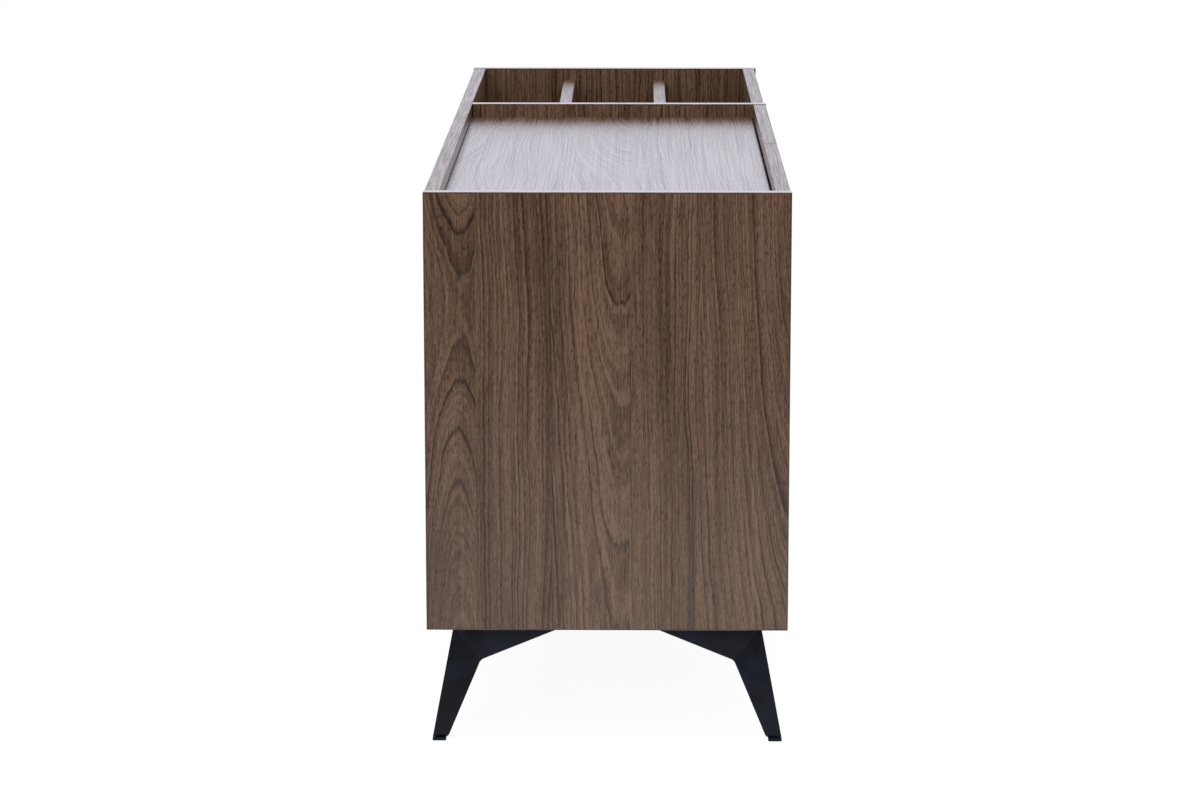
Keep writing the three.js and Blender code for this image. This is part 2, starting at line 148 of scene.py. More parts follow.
class Graph:
    """The nodes of a material or world, with short calls for those that the finishes use."""

    def __init__(self, owner: Material | bpy.types.World) -> None:
        """Starts from the shader that a new material or world has.

        Args:
            owner: The material or world.
        """
        owner.use_nodes = True
        self.owner = owner
        self.nodes = owner.node_tree.nodes
        self.links = owner.node_tree.links
        self.shader = self.nodes.get("Principled BSDF") or self.nodes.get("Background")

    @classmethod
    def named(cls, name: str) -> Graph:
        """Starts a new material."""
        return cls(bpy.data.materials.new(name))

    def add(self, kind: str, **settings: object) -> bpy.types.Node:
        """Adds a node.

        Args:
            kind: Node type without its ShaderNode prefix.
            **settings: Properties to set on it.

        Returns:
            The new node.
        """
        node = self.nodes.new("ShaderNode" + kind)
        for key, value in settings.items():
            setattr(node, key, value)
        return node

    def feed(self, socket: Socket, value: object) -> None:
        """Links an output to a socket, or sets the socket's own value.

        Args:
            socket: The input.
            value: An output socket, or a plain value.
        """
        if isinstance(value, Socket):
            self.links.new(value, socket)
        else:
            socket.default_value = value

    def feed_all(self, node: bpy.types.Node, values: tuple) -> Socket:
        """Feeds a node's inputs in order.

        Args:
            node: The node.
            values: Outputs or plain values.

        Returns:
            The node's first output.
        """
        for socket, value in zip(node.inputs, values):
            self.feed(socket, value)
        return node.outputs[0]

    def math(self, operation: str, *values: object, clamp: bool = False) -> Socket:
        """Adds a Math node, held within 0 and 1 where it is clamped."""
        return self.feed_all(self.add("Math", operation=operation, use_clamp=clamp), values)

    def times(self, value: Socket, factor: object) -> Socket:
        """Multiplies an output by a number or another output."""
        return self.math("MULTIPLY", value, factor)

    def total(self, *values: object) -> Socket:
        """Adds up numbers and outputs.

        Args:
            *values: What to add, with an output among the first two.

        Returns:
            The sum.
        """
        whole = values[0]
        for value in values[1:]:
            whole = self.math("ADD", whole, value)
        return whole

    def centred(self, value: Socket, size: float, middle: float = 0.0) -> Socket:
        """Moves noise to lie about a middle, over a range of a given size."""
        return self.math("MULTIPLY_ADD", value, size, middle - size / 2)

    def vector(self, *parts: object) -> Socket:
        """Joins three numbers or outputs into a vector."""
        return self.feed_all(self.add("CombineXYZ"), parts)

    def mix(self, share: Socket, first: Socket, second: Socket) -> Socket:
        """Mixes two shaders by the share of the second."""
        return self.feed_all(self.add("MixShader"), (share, first, second))

    def light(self, kind: str, colour: Colour, strength: object) -> Socket:
        """Adds an Emission or Background node."""
        return self.feed_all(self.add(kind), (colour, strength))

    def noise(self, vector: Socket, detail: float = 2.0, roughness: float = 0.5) -> Socket:
        """Adds a Noise texture at scale 1.

        Args:
            vector: Where to read it, already stretched.
            detail: Octaves.
            roughness: Weight of the finer octaves.

        Returns:
            Its value, about 0.5 on average.
        """
        node = self.add("TexNoise")
        node.inputs["Scale"].default_value = 1.0
        node.inputs["Detail"].default_value = detail
        node.inputs["Roughness"].default_value = roughness
        self.links.new(vector, node.inputs["Vector"])
        return node.outputs["Fac"]

    def grain(self, noise: Grain, along: Axis = Axis.Y) -> Socket:
        """Reads noise in the piece's own place.

        Args:
            noise: The noise.
            along: Axis that it is stretched along.

        Returns:
            Its value, about 0.5 on average.
        """
        rates = [noise.along if axis is along else noise.across for axis in Axis]
        parts = [self.times(part, rate) for part, rate in zip(self.place(), rates)]
        return self.noise(self.vector(*parts), noise.detail, noise.roughness)

    def ramp(self, value: Socket, stops: Sequence[tuple[float, Colour]],
             interpolation: str = "LINEAR") -> Socket:
        """Adds a Color Ramp.

        Args:
            value: Its input.
            stops: Position and colour of each stop, in order.
            interpolation: How colours run between stops.

        Returns:
            The colour.
        """
        node = self.add("ValToRGB")
        node.color_ramp.interpolation = interpolation
        elements = node.color_ramp.elements
        while len(elements) < len(stops):
            elements.new(1.0)
        for element, (position, colour) in zip(elements, stops):
            element.position = position
            element.color = colour
        self.links.new(value, node.inputs["Fac"])
        return node.outputs["Color"]

    def grey_ramp(self, value: Socket, stops: Iterable[Limits]) -> Socket:
        """Adds a Color Ramp of greys, each stop a position and a level."""
        return self.ramp(value, [(at, (level, level, level, 1.0)) for at, level in stops])

    def split(self, vector: Socket) -> list[Socket]:
        """Splits a vector or colour into its three parts."""
        return list(self.feed_all(self.add("SeparateXYZ"), (vector,)).node.outputs)

    def place(self) -> list[Socket]:
        """Gives the piece's own X, Y and Z."""
        return self.split(self.add("TexCoord").outputs["Object"])

    def surface(self, colour: object, roughness: object, constants: dict[str, float]) -> None:
        """Sets the shader's colour and roughness, and what is the same all over.

        Args:
            colour: Base colour, an output or a plain value.
            roughness: Roughness, an output or a plain value.
            constants: Values of other inputs by name.
        """
        inputs = self.shader.inputs
        self.feed(inputs["Base Color"], colour)
        self.feed(inputs["Roughness"], roughness)
        for name, value in constants.items():
            inputs[name].default_value = value

    def bump(self, height: Socket, distance: float, strength: float) -> None:
        """Raises the surface by a height map.

        Args:
            height: The map.
            distance: How far a height of 1 stands up, in metres.
            strength: Weight of the effect.
        """
        node = self.add("Bump")
        node.inputs["Strength"].default_value = strength
        node.inputs["Distance"].default_value = distance
        self.links.new(height, node.inputs["Height"])
        self.links.new(node.outputs["Normal"], self.shader.inputs["Normal"])

    def show(self, shader: Socket) -> None:
        """Sends a shader to the tree's output."""
        output = next(node for node in self.nodes if node.type.startswith("OUTPUT"))
        self.links.new(shader, output.inputs["Surface"])


@dataclass(frozen=True)
class Plank:
    """One strip of veneer in a plank-matched sheet.

    Attributes:
        width: Width of the strip.
        heart: Middle of its figure, from the sheet's left edge; far off gives straight grain.
        depth: How deep in the tree the cut lies where the figure turns.
        climb: How fast that depth falls away from the turn, which draws the arches.
        turn: Where along the grain the figure turns; arches point towards it.
        tone: Brightness of the strip.
    """

    width: float
    heart: float
    depth: float
    climb: float
    turn: float
    tone: float = 1.0


@dataclass(frozen=True)
class PlankMix:
    """Ranges that strips are drawn from: arched ones, and straight ones with a heart beside them."""

    width: Limits = (0.065, 0.115)
    middle: Limits = (0.3, 0.7)
    turn_margin: float = 0.2
    tone: Limits = (0.94, 1.06)
    arch: Limits = (0.06, 0.11)
    side_heart: Limits = (0.13, 0.24)
    side_depth: Limits = (0.03, 0.08)
    side_climb: Limits = (0.02, 0.07)

    def planks(self, span: float, along: Limits, seed: int, shade: float, arches: bool) -> list[Plank]:
        """Makes up strips for a sheet, arched and straight ones by turns, or straight ones alone.

        Args:
            span: Width of the sheet.
            along: Where the sheet starts and ends along the grain.
            seed: Chooses the strips.
            shade: Brightness of the sheet, which on some boards carries painted light.
            arches: Whether every other strip is arched.

        Returns:
            Strips that cover the sheet.
        """
        draw = random.Random(seed)
        planks: list[Plank] = []
        covered = 0.0
        arched = arches and draw.random() < 0.5
        while covered < span:
            width = draw.uniform(*self.width)
            heart = covered + width * draw.uniform(*self.middle)
            turn = draw.uniform(along[0] - self.turn_margin, along[1] + self.turn_margin)
            tone = draw.uniform(*self.tone) * shade
            depths, climbs = self.arch, self.arch
            if not arched:
                heart += draw.choice([-1, 1]) * draw.uniform(*self.side_heart)
                depths, climbs = self.side_depth, self.side_climb
            depth, climb = draw.uniform(*depths), draw.uniform(*climbs)
            planks.append(Plank(width, heart, depth, climb, turn, tone))
            covered += width
            arched = arches and not arched
        return planks


@dataclass(frozen=True)
class Span:
    """A range of values, which a ramp's colours carry as shares of it."""

    low: float
    high: float

    def share(self, value: float) -> float:
        """Gives a value's share of the range."""
        return (value - self.low) / (self.high - self.low)

    def value(self, graph: Graph, share: Socket) -> Socket:
        """Turns a share of the range back into its value."""
        return graph.math("MULTIPLY_ADD", share, self.high - self.low, self.low)


@dataclass(frozen=True)
class Strip:
    """Outputs that give, at each point of a sheet, the values of the strip it lies on."""

    heart: Socket
    depth: Socket
    climb: Socket
    turn: Socket
    tone: Socket
    number: Socket


@dataclass(frozen=True)
class Veneer:
    """A point on a sheet of veneer.

    Attributes:
        graph: The material's graph.
        side: Distance across the strips.
        along: Place along the grain.
        number: Number of the strip, which moves its noise.
    """

    graph: Graph
    side: Socket
    along: Socket
    number: Socket

    def noise(self, grain: Grain) -> Socket:
        """Reads noise on the veneer.

        Args:
            grain: The noise.

        Returns:
            Its value, about 0.5 on average.
        """
        vector = self.graph.vector(
            self.graph.times(self.side, grain.across),
            self.graph.times(self.along, grain.along),
            self.graph.math("ADD", self.number, grain.shift))
        return self.graph.noise(vector, grain.detail, grain.roughness)

    def wander(self, grain: Grain, size: float) -> Socket:
        """Reads noise about 0, over a range of a given size."""
        return self.graph.centred(self.noise(grain), size)


@dataclass(frozen=True)
class WalnutLaminate:
    """Satin walnut laminate: growth rings, fibres and pores in plank-matched strips.

    Attributes:
        ring: Width of a growth ring.
        uneven: Waves a metre and size of the change in that width.
        turn_round: How gently the figure turns.
        sway: Bends of the figure across the strips.
        pith_sway: Bends of its depth.
        fine_rings: Fine lines that follow the rings.
        ring_hair: Hairlines of the embossed face that follow the rings, with their share.
        straight_hair: Hairlines that follow the strip, with their share.
        hair_roughness: Roughness from the hairlines.
        band_roughness: Roughness of the bands along X, Y and Z, from dull to shiny.
    """

    tints: tuple[tuple[float, Colour], ...] = (
        (0.0, srgb(37, 24, 18)),
        (0.3, srgb(66, 46, 34)),
        (0.6, srgb(90, 66, 50)),
        (1.0, srgb(123, 96, 76)))
    base: float = 0.8
    emboss: float = 0.05 * MM
    emboss_weight: float = 0.45

    hearts: Span = Span(-1.0, 2.0)
    depths: Span = Span(0.0, 0.2)
    climbs: Span = Span(0.0, 0.3)
    turns: Span = Span(-2.0, 2.0)
    tones: Span = Span(0.7, 1.4)
    number_step: float = 0.37
    number_count: float = 37.0

    ring: float = 6.4 * MM
    uneven: Limits = (90.0, 2.6)
    turn_round: float = 0.07
    sway: tuple[tuple[Grain, float], ...] = (
        (Grain(9.0, 3.2, 1.0), 0.022),
        (Grain(45.0, 12.0, 2.0), 0.0036),
        (Grain(170.0, 48.0, 2.5), 0.0022))
    pith_sway: tuple[tuple[Grain, float], ...] = (
        (Grain(3.0, 3.4, 3.0), 0.014),
        (Grain(230.0, 26.0, 3.5), 0.0016))
    late_stops: tuple[Limits, ...] = (
        (0.0, 0.18), (0.08, 0.0), (0.6, 0.1), (0.84, 0.32), (0.94, 1.0), (1.0, 0.18))
    late_faintest: float = 0.12
    late_slant: Limits = (2.0, 0.5)
    late_weight: float = -0.85

    clouds: tuple[Grain, float] = (Grain(14.0, 2.6, 7.0), 0.55)
    streaks: tuple[Grain, float] = (Grain(150.0, 1.7, 5.0), 0.5)
    fine_rings: Grain = Grain(560.0, 2.4, 0.0, 3.0, 0.65)
    fine_ring_weight: float = 1.3
    fibre: Grain = Grain(640.0, 26.0, 6.0, 3.0, 0.65)
    fibre_weight: float = 0.95
    fibre_relief: float = 0.3
    pores: Grain = Grain(1050.0, 130.0, 8.0, 1.0, 0.6)
    pore_stops: tuple[Limits, ...] = ((0.5, 0.0), (0.7, 1.0))
    pore_weight: float = -0.42
    pore_relief: float = -0.15
    ring_hair: tuple[Grain, float] = (Grain(700.0, 2.6, 9.0, 0.0), 0.42)
    straight_hair: tuple[Grain, float] = (Grain(720.0, 2.6, 9.5, 0.0), 0.58)
    hair_roughness: tuple[Limits, ...] = ((0.34, 0.24), (0.5, 0.27), (0.68, 0.33))

    band_fibre: Grain = Grain(820.0, 12.0, detail=0.0, roughness=0.62)
    band_fibre_weight: float = 0.9
    band_fibre_relief: float = 0.5
    band_streaks: Grain = Grain(130.0, 1.6, detail=1.0, roughness=0.62)
    band_streak_weight: float = 0.4
    band_pores: Grain = Grain(560.0, 26.0, detail=1.0, roughness=0.62)
    band_pore_stops: tuple[Limits, ...] = ((0.46, 0.0), (0.62, 1.0))
    band_pore_weight: float = -0.4
    band_stops: Point = (0.3, 0.5, 0.7)
    band_roughness: tuple[Point, ...] = ((0.43, 0.37, 0.32), (0.25, 0.22, 0.2), (0.43, 0.37, 0.32))

    def sheet(self, name: str, across: tuple[Axis, float, float], grain: Axis,
              planks: list[Plank], seed: float) -> Material:
        """Makes the laminate of one board.

        Args:
            name: Name of the material.
            across: Axis across the strips, where the first strip starts, and where the last ends.
            grain: Axis along the grain.
            planks: The strips in order.
            seed: Moves the noise, so that no two boards are alike.

        Returns:
            The material.
        """
        graph = Graph.named(name)
        place = graph.place()
        axis, start, end = across
        direction = math.copysign(1.0, end - start)
        side = graph.math("MULTIPLY_ADD", place[axis.value], direction, -direction * start)
        strip = self.strips(graph, side, planks, seed)
        veneer = Veneer(graph, side, place[grain.value], strip.number)
        radius, slant = self.tree(veneer, strip)
        rings = Veneer(graph, radius, veneer.along, strip.number)
        fibre = veneer.noise(self.fibre)
        pores = graph.grey_ramp(veneer.noise(self.pores), self.pore_stops)
        shade = graph.total(
            self.base,
            veneer.wander(*self.clouds),
            veneer.wander(*self.streaks),
            rings.wander(self.fine_rings, self.fine_ring_weight),
            graph.centred(fibre, self.fibre_weight),
            graph.times(self.late_wood(veneer, radius, slant), self.late_weight),
            graph.times(pores, self.pore_weight))
        hair = graph.total(*[
            graph.times(lines.noise(noise), share)
            for lines, (noise, share) in ((rings, self.ring_hair), (veneer, self.straight_hair))])
        relief = graph.total(
            hair, graph.times(fibre, self.fibre_relief), graph.times(pores, self.pore_relief))
        self.coat(
            graph, graph.times(shade, strip.tone), graph.grey_ramp(hair, self.hair_roughness), relief)
        return graph.owner

    def strips(self, graph: Graph, side: Socket, planks: list[Plank], seed: float) -> Strip:
        """Looks up the values of the strip at each point.

        Args:
            graph: The material's graph.
            side: Distance across the strips.
            planks: The strips in order.
            seed: Moves the noise.

        Returns:
            The values.
        """
        span = sum(plank.width for plank in planks)
        figure_stops = []
        tone_stops = []
        covered = 0.0
        for i, plank in enumerate(planks):
            figure_stops.append((covered / span, (
                self.hearts.share(plank.heart),
                self.depths.share(plank.depth),
                self.climbs.share(plank.climb),
                1.0)))
            tone_stops.append((covered / span, (
                self.tones.share(plank.tone),
                (i * self.number_step) % 1,
                self.turns.share(plank.turn),
                1.0)))
            covered += plank.width
        position = graph.math("DIVIDE", side, span)
        heart, depth, climb = graph.split(graph.ramp(position, figure_stops, "CONSTANT"))
        tone, number, turn = graph.split(graph.ramp(position, tone_stops, "CONSTANT"))
        return Strip(
            self.hearts.value(graph, heart),
            self.depths.value(graph, depth),
            self.climbs.value(graph, climb),
            self.turns.value(graph, turn),
            self.tones.value(graph, tone),
            graph.math("MULTIPLY_ADD", number, self.number_count, seed))

    def tree(self, veneer: Veneer, strip: Strip) -> tuple[Socket, Socket]:
        """Works out how far from the pith of its tree each point grew.

        Args:
            veneer: The veneer.
            strip: Values of its strips.

        Returns:
            The distance, and the share of it that lies across the strip.
        """
        graph = veneer.graph
        sway = graph.total(*[veneer.wander(*bend) for bend in self.sway])
        past = graph.math("SUBTRACT", veneer.along, strip.turn)
        past = graph.math("SQRT", graph.math("MULTIPLY_ADD", past, past, self.turn_round ** 2))
        off_heart = graph.math("SUBTRACT", graph.math("ADD", veneer.side, sway), strip.heart)
        off_pith = graph.total(
            strip.depth,
            graph.times(graph.times(past, strip.climb), -1.0),
            *[veneer.wander(*bend) for bend in self.pith_sway])
        squares = [graph.times(part, part) for part in (off_heart, off_pith)]
        radius = graph.math("SQRT", graph.total(*squares))
        return radius, graph.math("DIVIDE", graph.math("ABSOLUTE", off_heart), radius)

    def late_wood(self, veneer: Veneer, radius: Socket, slant: Socket) -> Socket:
        """Draws the thin dark lines at the ends of the growth rings, some bold and some faint.

        Args:
            veneer: The veneer.
            radius: Distance from the pith.
            slant: Share of it across the strip; rings cut flat are drawn fainter.

        Returns:
            Strength of the lines.
        """
        graph = veneer.graph
        rate, size = self.uneven
        uneven = graph.noise(graph.vector(graph.times(radius, rate), veneer.number, 0.0), 1.0)
        rings = graph.math("MULTIPLY_ADD", uneven, size, graph.math("DIVIDE", radius, self.ring))
        year = graph.add("TexWhiteNoise", noise_dimensions="2D")
        graph.feed(year.inputs["Vector"], graph.vector(graph.math("FLOOR", rings), veneer.number, 0.0))
        line = graph.grey_ramp(graph.math("FRACT", rings), self.late_stops)
        bold = graph.math("ADD", year.outputs["Value"], self.late_faintest)
        steep = graph.math("MULTIPLY_ADD", slant, *self.late_slant, clamp=True)
        return graph.times(graph.times(line, bold), steep)

    def coat(self, graph: Graph, shade: Socket, rough: Socket, relief: Socket) -> None:
        """Colours the surface by how light the wood is, and gives it its satin, embossed face."""
        graph.surface(graph.ramp(shade, self.tints), rough, {})
        graph.bump(relief, self.emboss, self.emboss_weight)

    def band(self, along: Axis) -> Material:
        """Makes the edge band that runs along one axis.

        Args:
            along: Axis along the band.

        Returns:
            The material.
        """
        graph = Graph.named(f"walnut_edge_band_{along.name.lower()}")
        fibre, streaks, pores = [
            graph.grain(noise, along)
            for noise in (self.band_fibre, self.band_streaks, self.band_pores)]
        pores = graph.grey_ramp(pores, self.band_pore_stops)
        shade = graph.total(
            self.base,
            graph.centred(fibre, self.band_fibre_weight),
            graph.centred(streaks, self.band_streak_weight),
            graph.times(pores, self.band_pore_weight))
        levels = zip(self.band_stops, self.band_roughness[along.value])
        relief = graph.times(fibre, self.band_fibre_relief)
        self.coat(graph, shade, graph.grey_ramp(fibre, levels), relief)
        return graph.owner


@dataclass(frozen=True)
class PlainFinish:
    """A finish of soft clouds over a fine grain.

    Attributes:
        colours: Its colours, from the dark clouds to the light ones.
        stops: Where in the clouds each colour lies.
        drawn: Whether roughness follows the grain and not the clouds.
        spread: Width of its roughness, or 0 where that is the same all over.
        height: Height of the grain, or 0 where it has none.
        weight: Weight of the grain.
    """

    name: str
    colours: tuple[Colour, ...]
    roughness: float
    gloss: float = 0.5
    transmission: float = 0.0
    metallic: float = 0.0
    stops: tuple[float, ...] = (0.3, 0.7)
    clouds: Grain = Grain(120.0, 120.0)
    grain: Grain = Grain(2600.0, 2600.0)
    drawn: bool = False
    spread: float = 0.12
    height: float = 0.02 * MM
    weight: float = 0.4

    def material(self) -> Material:
        """Makes the finish.

        Returns:
            The material.
        """
        graph = Graph.named(self.name)
        clouds = graph.grain(self.clouds)
        colour = graph.ramp(clouds, list(zip(self.stops, self.colours)))
        rough = self.roughness
        source = clouds
        if self.height > 0:
            grain = graph.grain(self.grain)
            graph.bump(grain, self.height, self.weight)
            source = grain if self.drawn else clouds
        if self.spread > 0:
            rough = graph.centred(source, self.spread, self.roughness)
        graph.surface(colour, rough, {
            "Specular IOR Level": self.gloss,
            "Transmission Weight": self.transmission,
            "Metallic": self.metallic})
        return graph.owner


@dataclass(frozen=True)
class Moulded(PlainFinish):
    """Moulded plastic or rubber with a fine spark-eroded grain."""


@dataclass(frozen=True)
class PowderCoat(PlainFinish):
    """Fine-textured satin powder coat on the legs, with a painted bluish sheen in its lighter clouds."""

    name: str = "black_powder_coat"
    # The dark colour is the coat's own; the lighter, bluish one is a painted sheen, a mottled bluish
    # reflection in the colour.
    colours: tuple[Colour, ...] = (srgb(10, 13, 20), srgb(23, 29, 44))
    roughness: float = 0.42
    gloss: float = 0.16
    stops: tuple[float, ...] = (0.38, 0.72)
    clouds: Grain = Grain(26.0, 26.0, detail=3.0)
    grain: Grain = Grain(1600.0, 1600.0)
    spread: float = 0.14
    height: float = 0.03 * MM
    weight: float = 0.5


@dataclass(frozen=True)
class PlatedSteel(PlainFinish):
    """Bright plated steel of hinges, slides and screws, drawn along Y."""

    metallic: float = 1.0
    clouds: Grain = Grain(60.0, 60.0)
    grain: Grain = Grain(900.0, 40.0, detail=3.0)
    drawn: bool = True
    spread: float = 0.2
    height: float = 0.01 * MM
    weight: float = 0.25


@dataclass(frozen=True)
class Chipboard(PlainFinish):
    """Raw chipboard inside a bored hole."""

    name: str = "chipboard_core"
    colours: tuple[Colour, ...] = (srgb(104, 78, 54), srgb(150, 118, 84), srgb(186, 156, 118))
    roughness: float = 0.9
    stops: tuple[float, ...] = (0.3, 0.6, 0.8)
    clouds: Grain = Grain(700.0, 700.0, detail=4.0, roughness=0.7)
    grain: Grain = Grain(700.0, 700.0, detail=4.0, roughness=0.7)
    spread: float = 0.0
    height: float = 0.3 * MM
    weight: float = 0.6


@dataclass(frozen=True)
class BandLine(PlainFinish):
    """Thin dark glue line where an edge band meets the face."""

    name: str = "walnut_band_line"
    colours: tuple[Colour, ...] = (srgb(46, 30, 24), srgb(66, 46, 37))
    roughness: float = 0.45
    clouds: Grain = Grain(900.0, 900.0)
    spread: float = 0.0
    height: float = 0.0


def make_object(name: str, shape: Shape, materials: list[Material]) -> Piece:
    """Turns a finished bmesh into an object at the origin.

    Args:
        name: Name of the piece.
        shape: Its mesh, which is freed.
        materials: Its material slots in order.

    Returns:
        The object.
    """
    mesh = bpy.data.meshes.new(name)
    shape.to_mesh(mesh)
    shape.free()
    for material in materials:
        mesh.materials.append(material)
    piece = bpy.data.objects.new(name, mesh)
    bpy.context.scene.collection.objects.link(piece)
    return piece


def seat(piece: Piece, body: str, slot: Slot, *nodes: str) -> Piece:
    """Ties a piece to the body it moves with, and hides the nodes it stands for.

    Args:
        piece: The piece.
        body: Body that carries it.
        slot: Material slot of its finish; not used.
        *nodes: CAD nodes that it replaces.

    Returns:
        The piece.
    """
    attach(piece, body)
    if nodes:
        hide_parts(*nodes)
    LOG.info("%s rides on %s", piece.name, body)
    return piece


def middle_of(node: str) -> Vector:
    """Gives the middle of a node's box."""
    low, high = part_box(node)
    return (low + high) / 2


def round_edges(shape: Shape, edges: list[bmesh.types.BMEdge], radius: float, segments: int,
                clamp: bool = False) -> None:
    """Rounds edges of a mesh.

    Args:
        shape: The mesh.
        edges: Its edges to round.
        radius: Width of the rounding.
        segments: Faces across it.
        clamp: Whether it narrows where two roundings would meet.
    """
    bmesh.ops.bevel(
        shape, geom=edges, offset=radius, offset_type="OFFSET", segments=segments, profile=0.5,
        affect="EDGES", clamp_overlap=clamp, material=-1)


def block(middle: Vector, size: Vector, ease: float) -> Shape:
    """Draws a block with eased edges.

    Args:
        middle: Its middle.
        size: Its three sides.
        ease: Radius of its edges.

    Returns:
        The mesh.
    """
    shape = bmesh.new()
    bmesh.ops.create_cube(shape, size=1.0)
    bmesh.ops.scale(shape, vec=size, verts=shape.verts)
    bmesh.ops.translate(shape, vec=middle, verts=shape.verts)
    round_edges(shape, shape.edges[:], ease, 3)
    return shape


def slab(outline: list[Limits], level: float, rise: float) -> tuple[Shape, list[bmesh.types.BMVert]]:
    """Draws a flat plate.

    Args:
        outline: Corners of its first face.
        level: Height of that face.
        rise: Distance up to the other face.

    Returns:
        The mesh, and the corners of the other face.
    """
    shape = bmesh.new()
    face = shape.faces.new([shape.verts.new((x, y, level)) for x, y in outline])
    moved = bmesh.ops.extrude_face_region(shape, geom=[face])["geom"]
    corners = [item for item in moved if isinstance(item, bmesh.types.BMVert)]
    bmesh.ops.translate(shape, vec=(0.0, 0.0, rise), verts=corners)
    return shape, corners


def add_disc(shape: Shape, radius: float, height: float, sides: int, place: Matrix) -> None:
    """Adds a round bar to a mesh.

    Args:
        shape: The mesh that grows.
        radius: Radius of the bar.
        height: Its length.
        sides: Faces round it.
        place: Matrix from a bar along Z, about the origin, to its own place.
    """
    bmesh.ops.create_cone(
        shape, cap_ends=True, segments=sides, radius1=radius, radius2=radius, depth=height,
        matrix=place)


def turned(place: Vector, out: Vector) -> Matrix:
    """Gives the matrix that stands a shape drawn along +Z on a surface."""
    turn = Axis.Z.unit.rotation_difference(out).to_matrix().to_4x4()
    return Matrix.Translation(place) @ turn


def add_shape(whole: Shape, part: Shape, place: Matrix) -> None:
    """Adds a drawn shape to a larger mesh.

    Args:
        whole: The mesh that grows.
        part: The shape to add, which is freed.
        place: Where it goes.
    """
    bmesh.ops.transform(part, matrix=place, verts=part.verts)
    carrier = bpy.data.meshes.new("carrier")
    part.to_mesh(carrier)
    part.free()
    whole.from_mesh(carrier)
    bpy.data.meshes.remove(carrier)


@dataclass(frozen=True)
class Button:
    """A round cap or pad with an eased rim.

    Attributes:
        place: Point on the surface under it.
        out: Unit vector out of the surface.
        crown: Share of the height that is rounded.
        sides: Faces round it.
        segments: Faces across the rim.
    """

    place: Vector
    out: Vector
    radius: float = 8.0 * MM
    height: float = 1.0 * MM
    crown: float = 0.6
    sides: int = 32
    segments: int = 3

    def cap(self) -> Shape:
        """Draws the cap on the ground.

        Returns:
            The mesh.
        """
        cap = bmesh.new()
        half = self.height / 2
        add_disc(cap, self.radius, self.height, self.sides, Matrix.Translation((0.0, 0.0, half)))
        rim = [edge for edge in cap.edges if all(vert.co.z > half for vert in edge.verts)]
        round_edges(cap, rim, self.height * self.crown, self.segments)
        return cap

    def add_to(self, whole: Shape) -> None:
        """Adds the cap to a mesh."""
        add_shape(whole, self.cap(), turned(self.place, self.out))


@dataclass(frozen=True)
class Screw(Button):
    """A cross-recessed pan-head screw, its shank out of sight.

    Attributes:
        lip: Width of the ring round the cross, as a share of the radius.
        recess: Reach of the cross, as a share of the radius.
        core: Reach between its arms.
        arm: Half the angle that an arm takes, in degrees.
        sink: Share of the height that the cross goes down.
    """

    radius: float = 4.2 * MM
    height: float = 1.9 * MM
    crown: float = 0.75
    sides: int = 24
    segments: int = 4
    lip: float = 0.05
    recess: float = 0.6
    core: float = 0.26
    arm: float = 20.0
    sink: float = 0.6

    def cap(self) -> Shape:
        """Draws the head on the ground, with its cross.

        Returns:
            The mesh.
        """
        head = super().cap()
        top = max(head.faces, key=lambda face: face.calc_center_median().z)
        bmesh.ops.inset_individual(head, faces=[top], thickness=self.radius * self.lip)
        for vert in top.verts:
            angle = math.atan2(vert.co.y, vert.co.x) % (math.pi / 2)
            on_arm = min(angle, math.pi / 2 - angle) < math.radians(self.arm)
            reach = self.radius * (self.recess if on_arm else self.core)
            vert.co.xy = vert.co.xy.normalized() * reach
        sunk = bmesh.ops.extrude_discrete_faces(head, faces=[top])["faces"]
        bmesh.ops.translate(head, vec=(0.0, 0.0, -self.height * self.sink), verts=sunk[0].verts)
        return head


class Workshop:
    """The frame's nodes, and every finish of the credenza, each made once."""

    def __init__(self, nodes: dict[str, Piece]) -> None:
        """Makes the finishes.

        Args:
            nodes: The CAD nodes by name.
        """
        self.nodes = nodes
        self.walnut = WalnutLaminate()
        self.bands = {axis: self.walnut.band(axis) for axis in Axis}
        self.band_line = BandLine().material()
        self.core = Chipboard().material()
        self.plain = {
            Slot.BLACK_STEEL: PowderCoat().material(),
            Slot.ZINC: PlatedSteel("zinc_plate", shades(srgb(186, 188, 190), 0.8), 0.34).material(),
            Slot.NICKEL: PlatedSteel("nickel_plate", shades(srgb(204, 201, 194), 0.8), 0.24).material(),
            Slot.PLASTIC: Moulded("glide_plastic", shades(srgb(22, 26, 37), 0.82), 0.5, 0.14).material(),
            Slot.RUBBER: Moulded(
                "bumper_rubber", shades(srgb(214, 214, 208), 0.82), 0.4, transmission=0.5).material(),
        }

    def mount(self, name: str, shape: Shape, body: str, slot: Slot, *nodes: str,
              crisp: float = 32.0) -> Piece:
        """Makes a piece that has one finish.

        Args:
            name: Name of the piece.
            shape: Its mesh.
            body: Body that carries it.
            slot: Material slot of its finish.
            *nodes: CAD nodes that it replaces.
            crisp: Edges sharper than this stay crisp, in degrees.

        Returns:
            The piece.
        """
        piece = make_object(name, shape, [self.plain[slot]])
        if crisp > 0:
            piece.data.shade_smooth()
            piece.data.set_sharp_from_angle(angle=math.radians(crisp))
        return seat(piece, body, slot, *nodes)

    def fix(self, name: str, fasteners: list[Button], body: str, slot: Slot, *nodes: str) -> Piece:
        """Makes one piece of several like fasteners.

        Args:
            name: Name of the piece.
            fasteners: What it holds.
            body: Body that carries it.
            slot: Material slot of its finish.
            *nodes: CAD nodes that it replaces.

        Returns:
            The piece.
        """
        shape = bmesh.new()
        for fastener in fasteners:
            fastener.add_to(shape)
        return self.mount(name, shape, body, slot, *nodes)


@dataclass(frozen=True)
class Hole:
    """A blind round hole.

    Attributes:
        mouth: Middle of the mouth, on the surface.
        inward: Unit vector into the board.
    """

    mouth: Vector
    inward: Vector
    radius: float
    depth: float


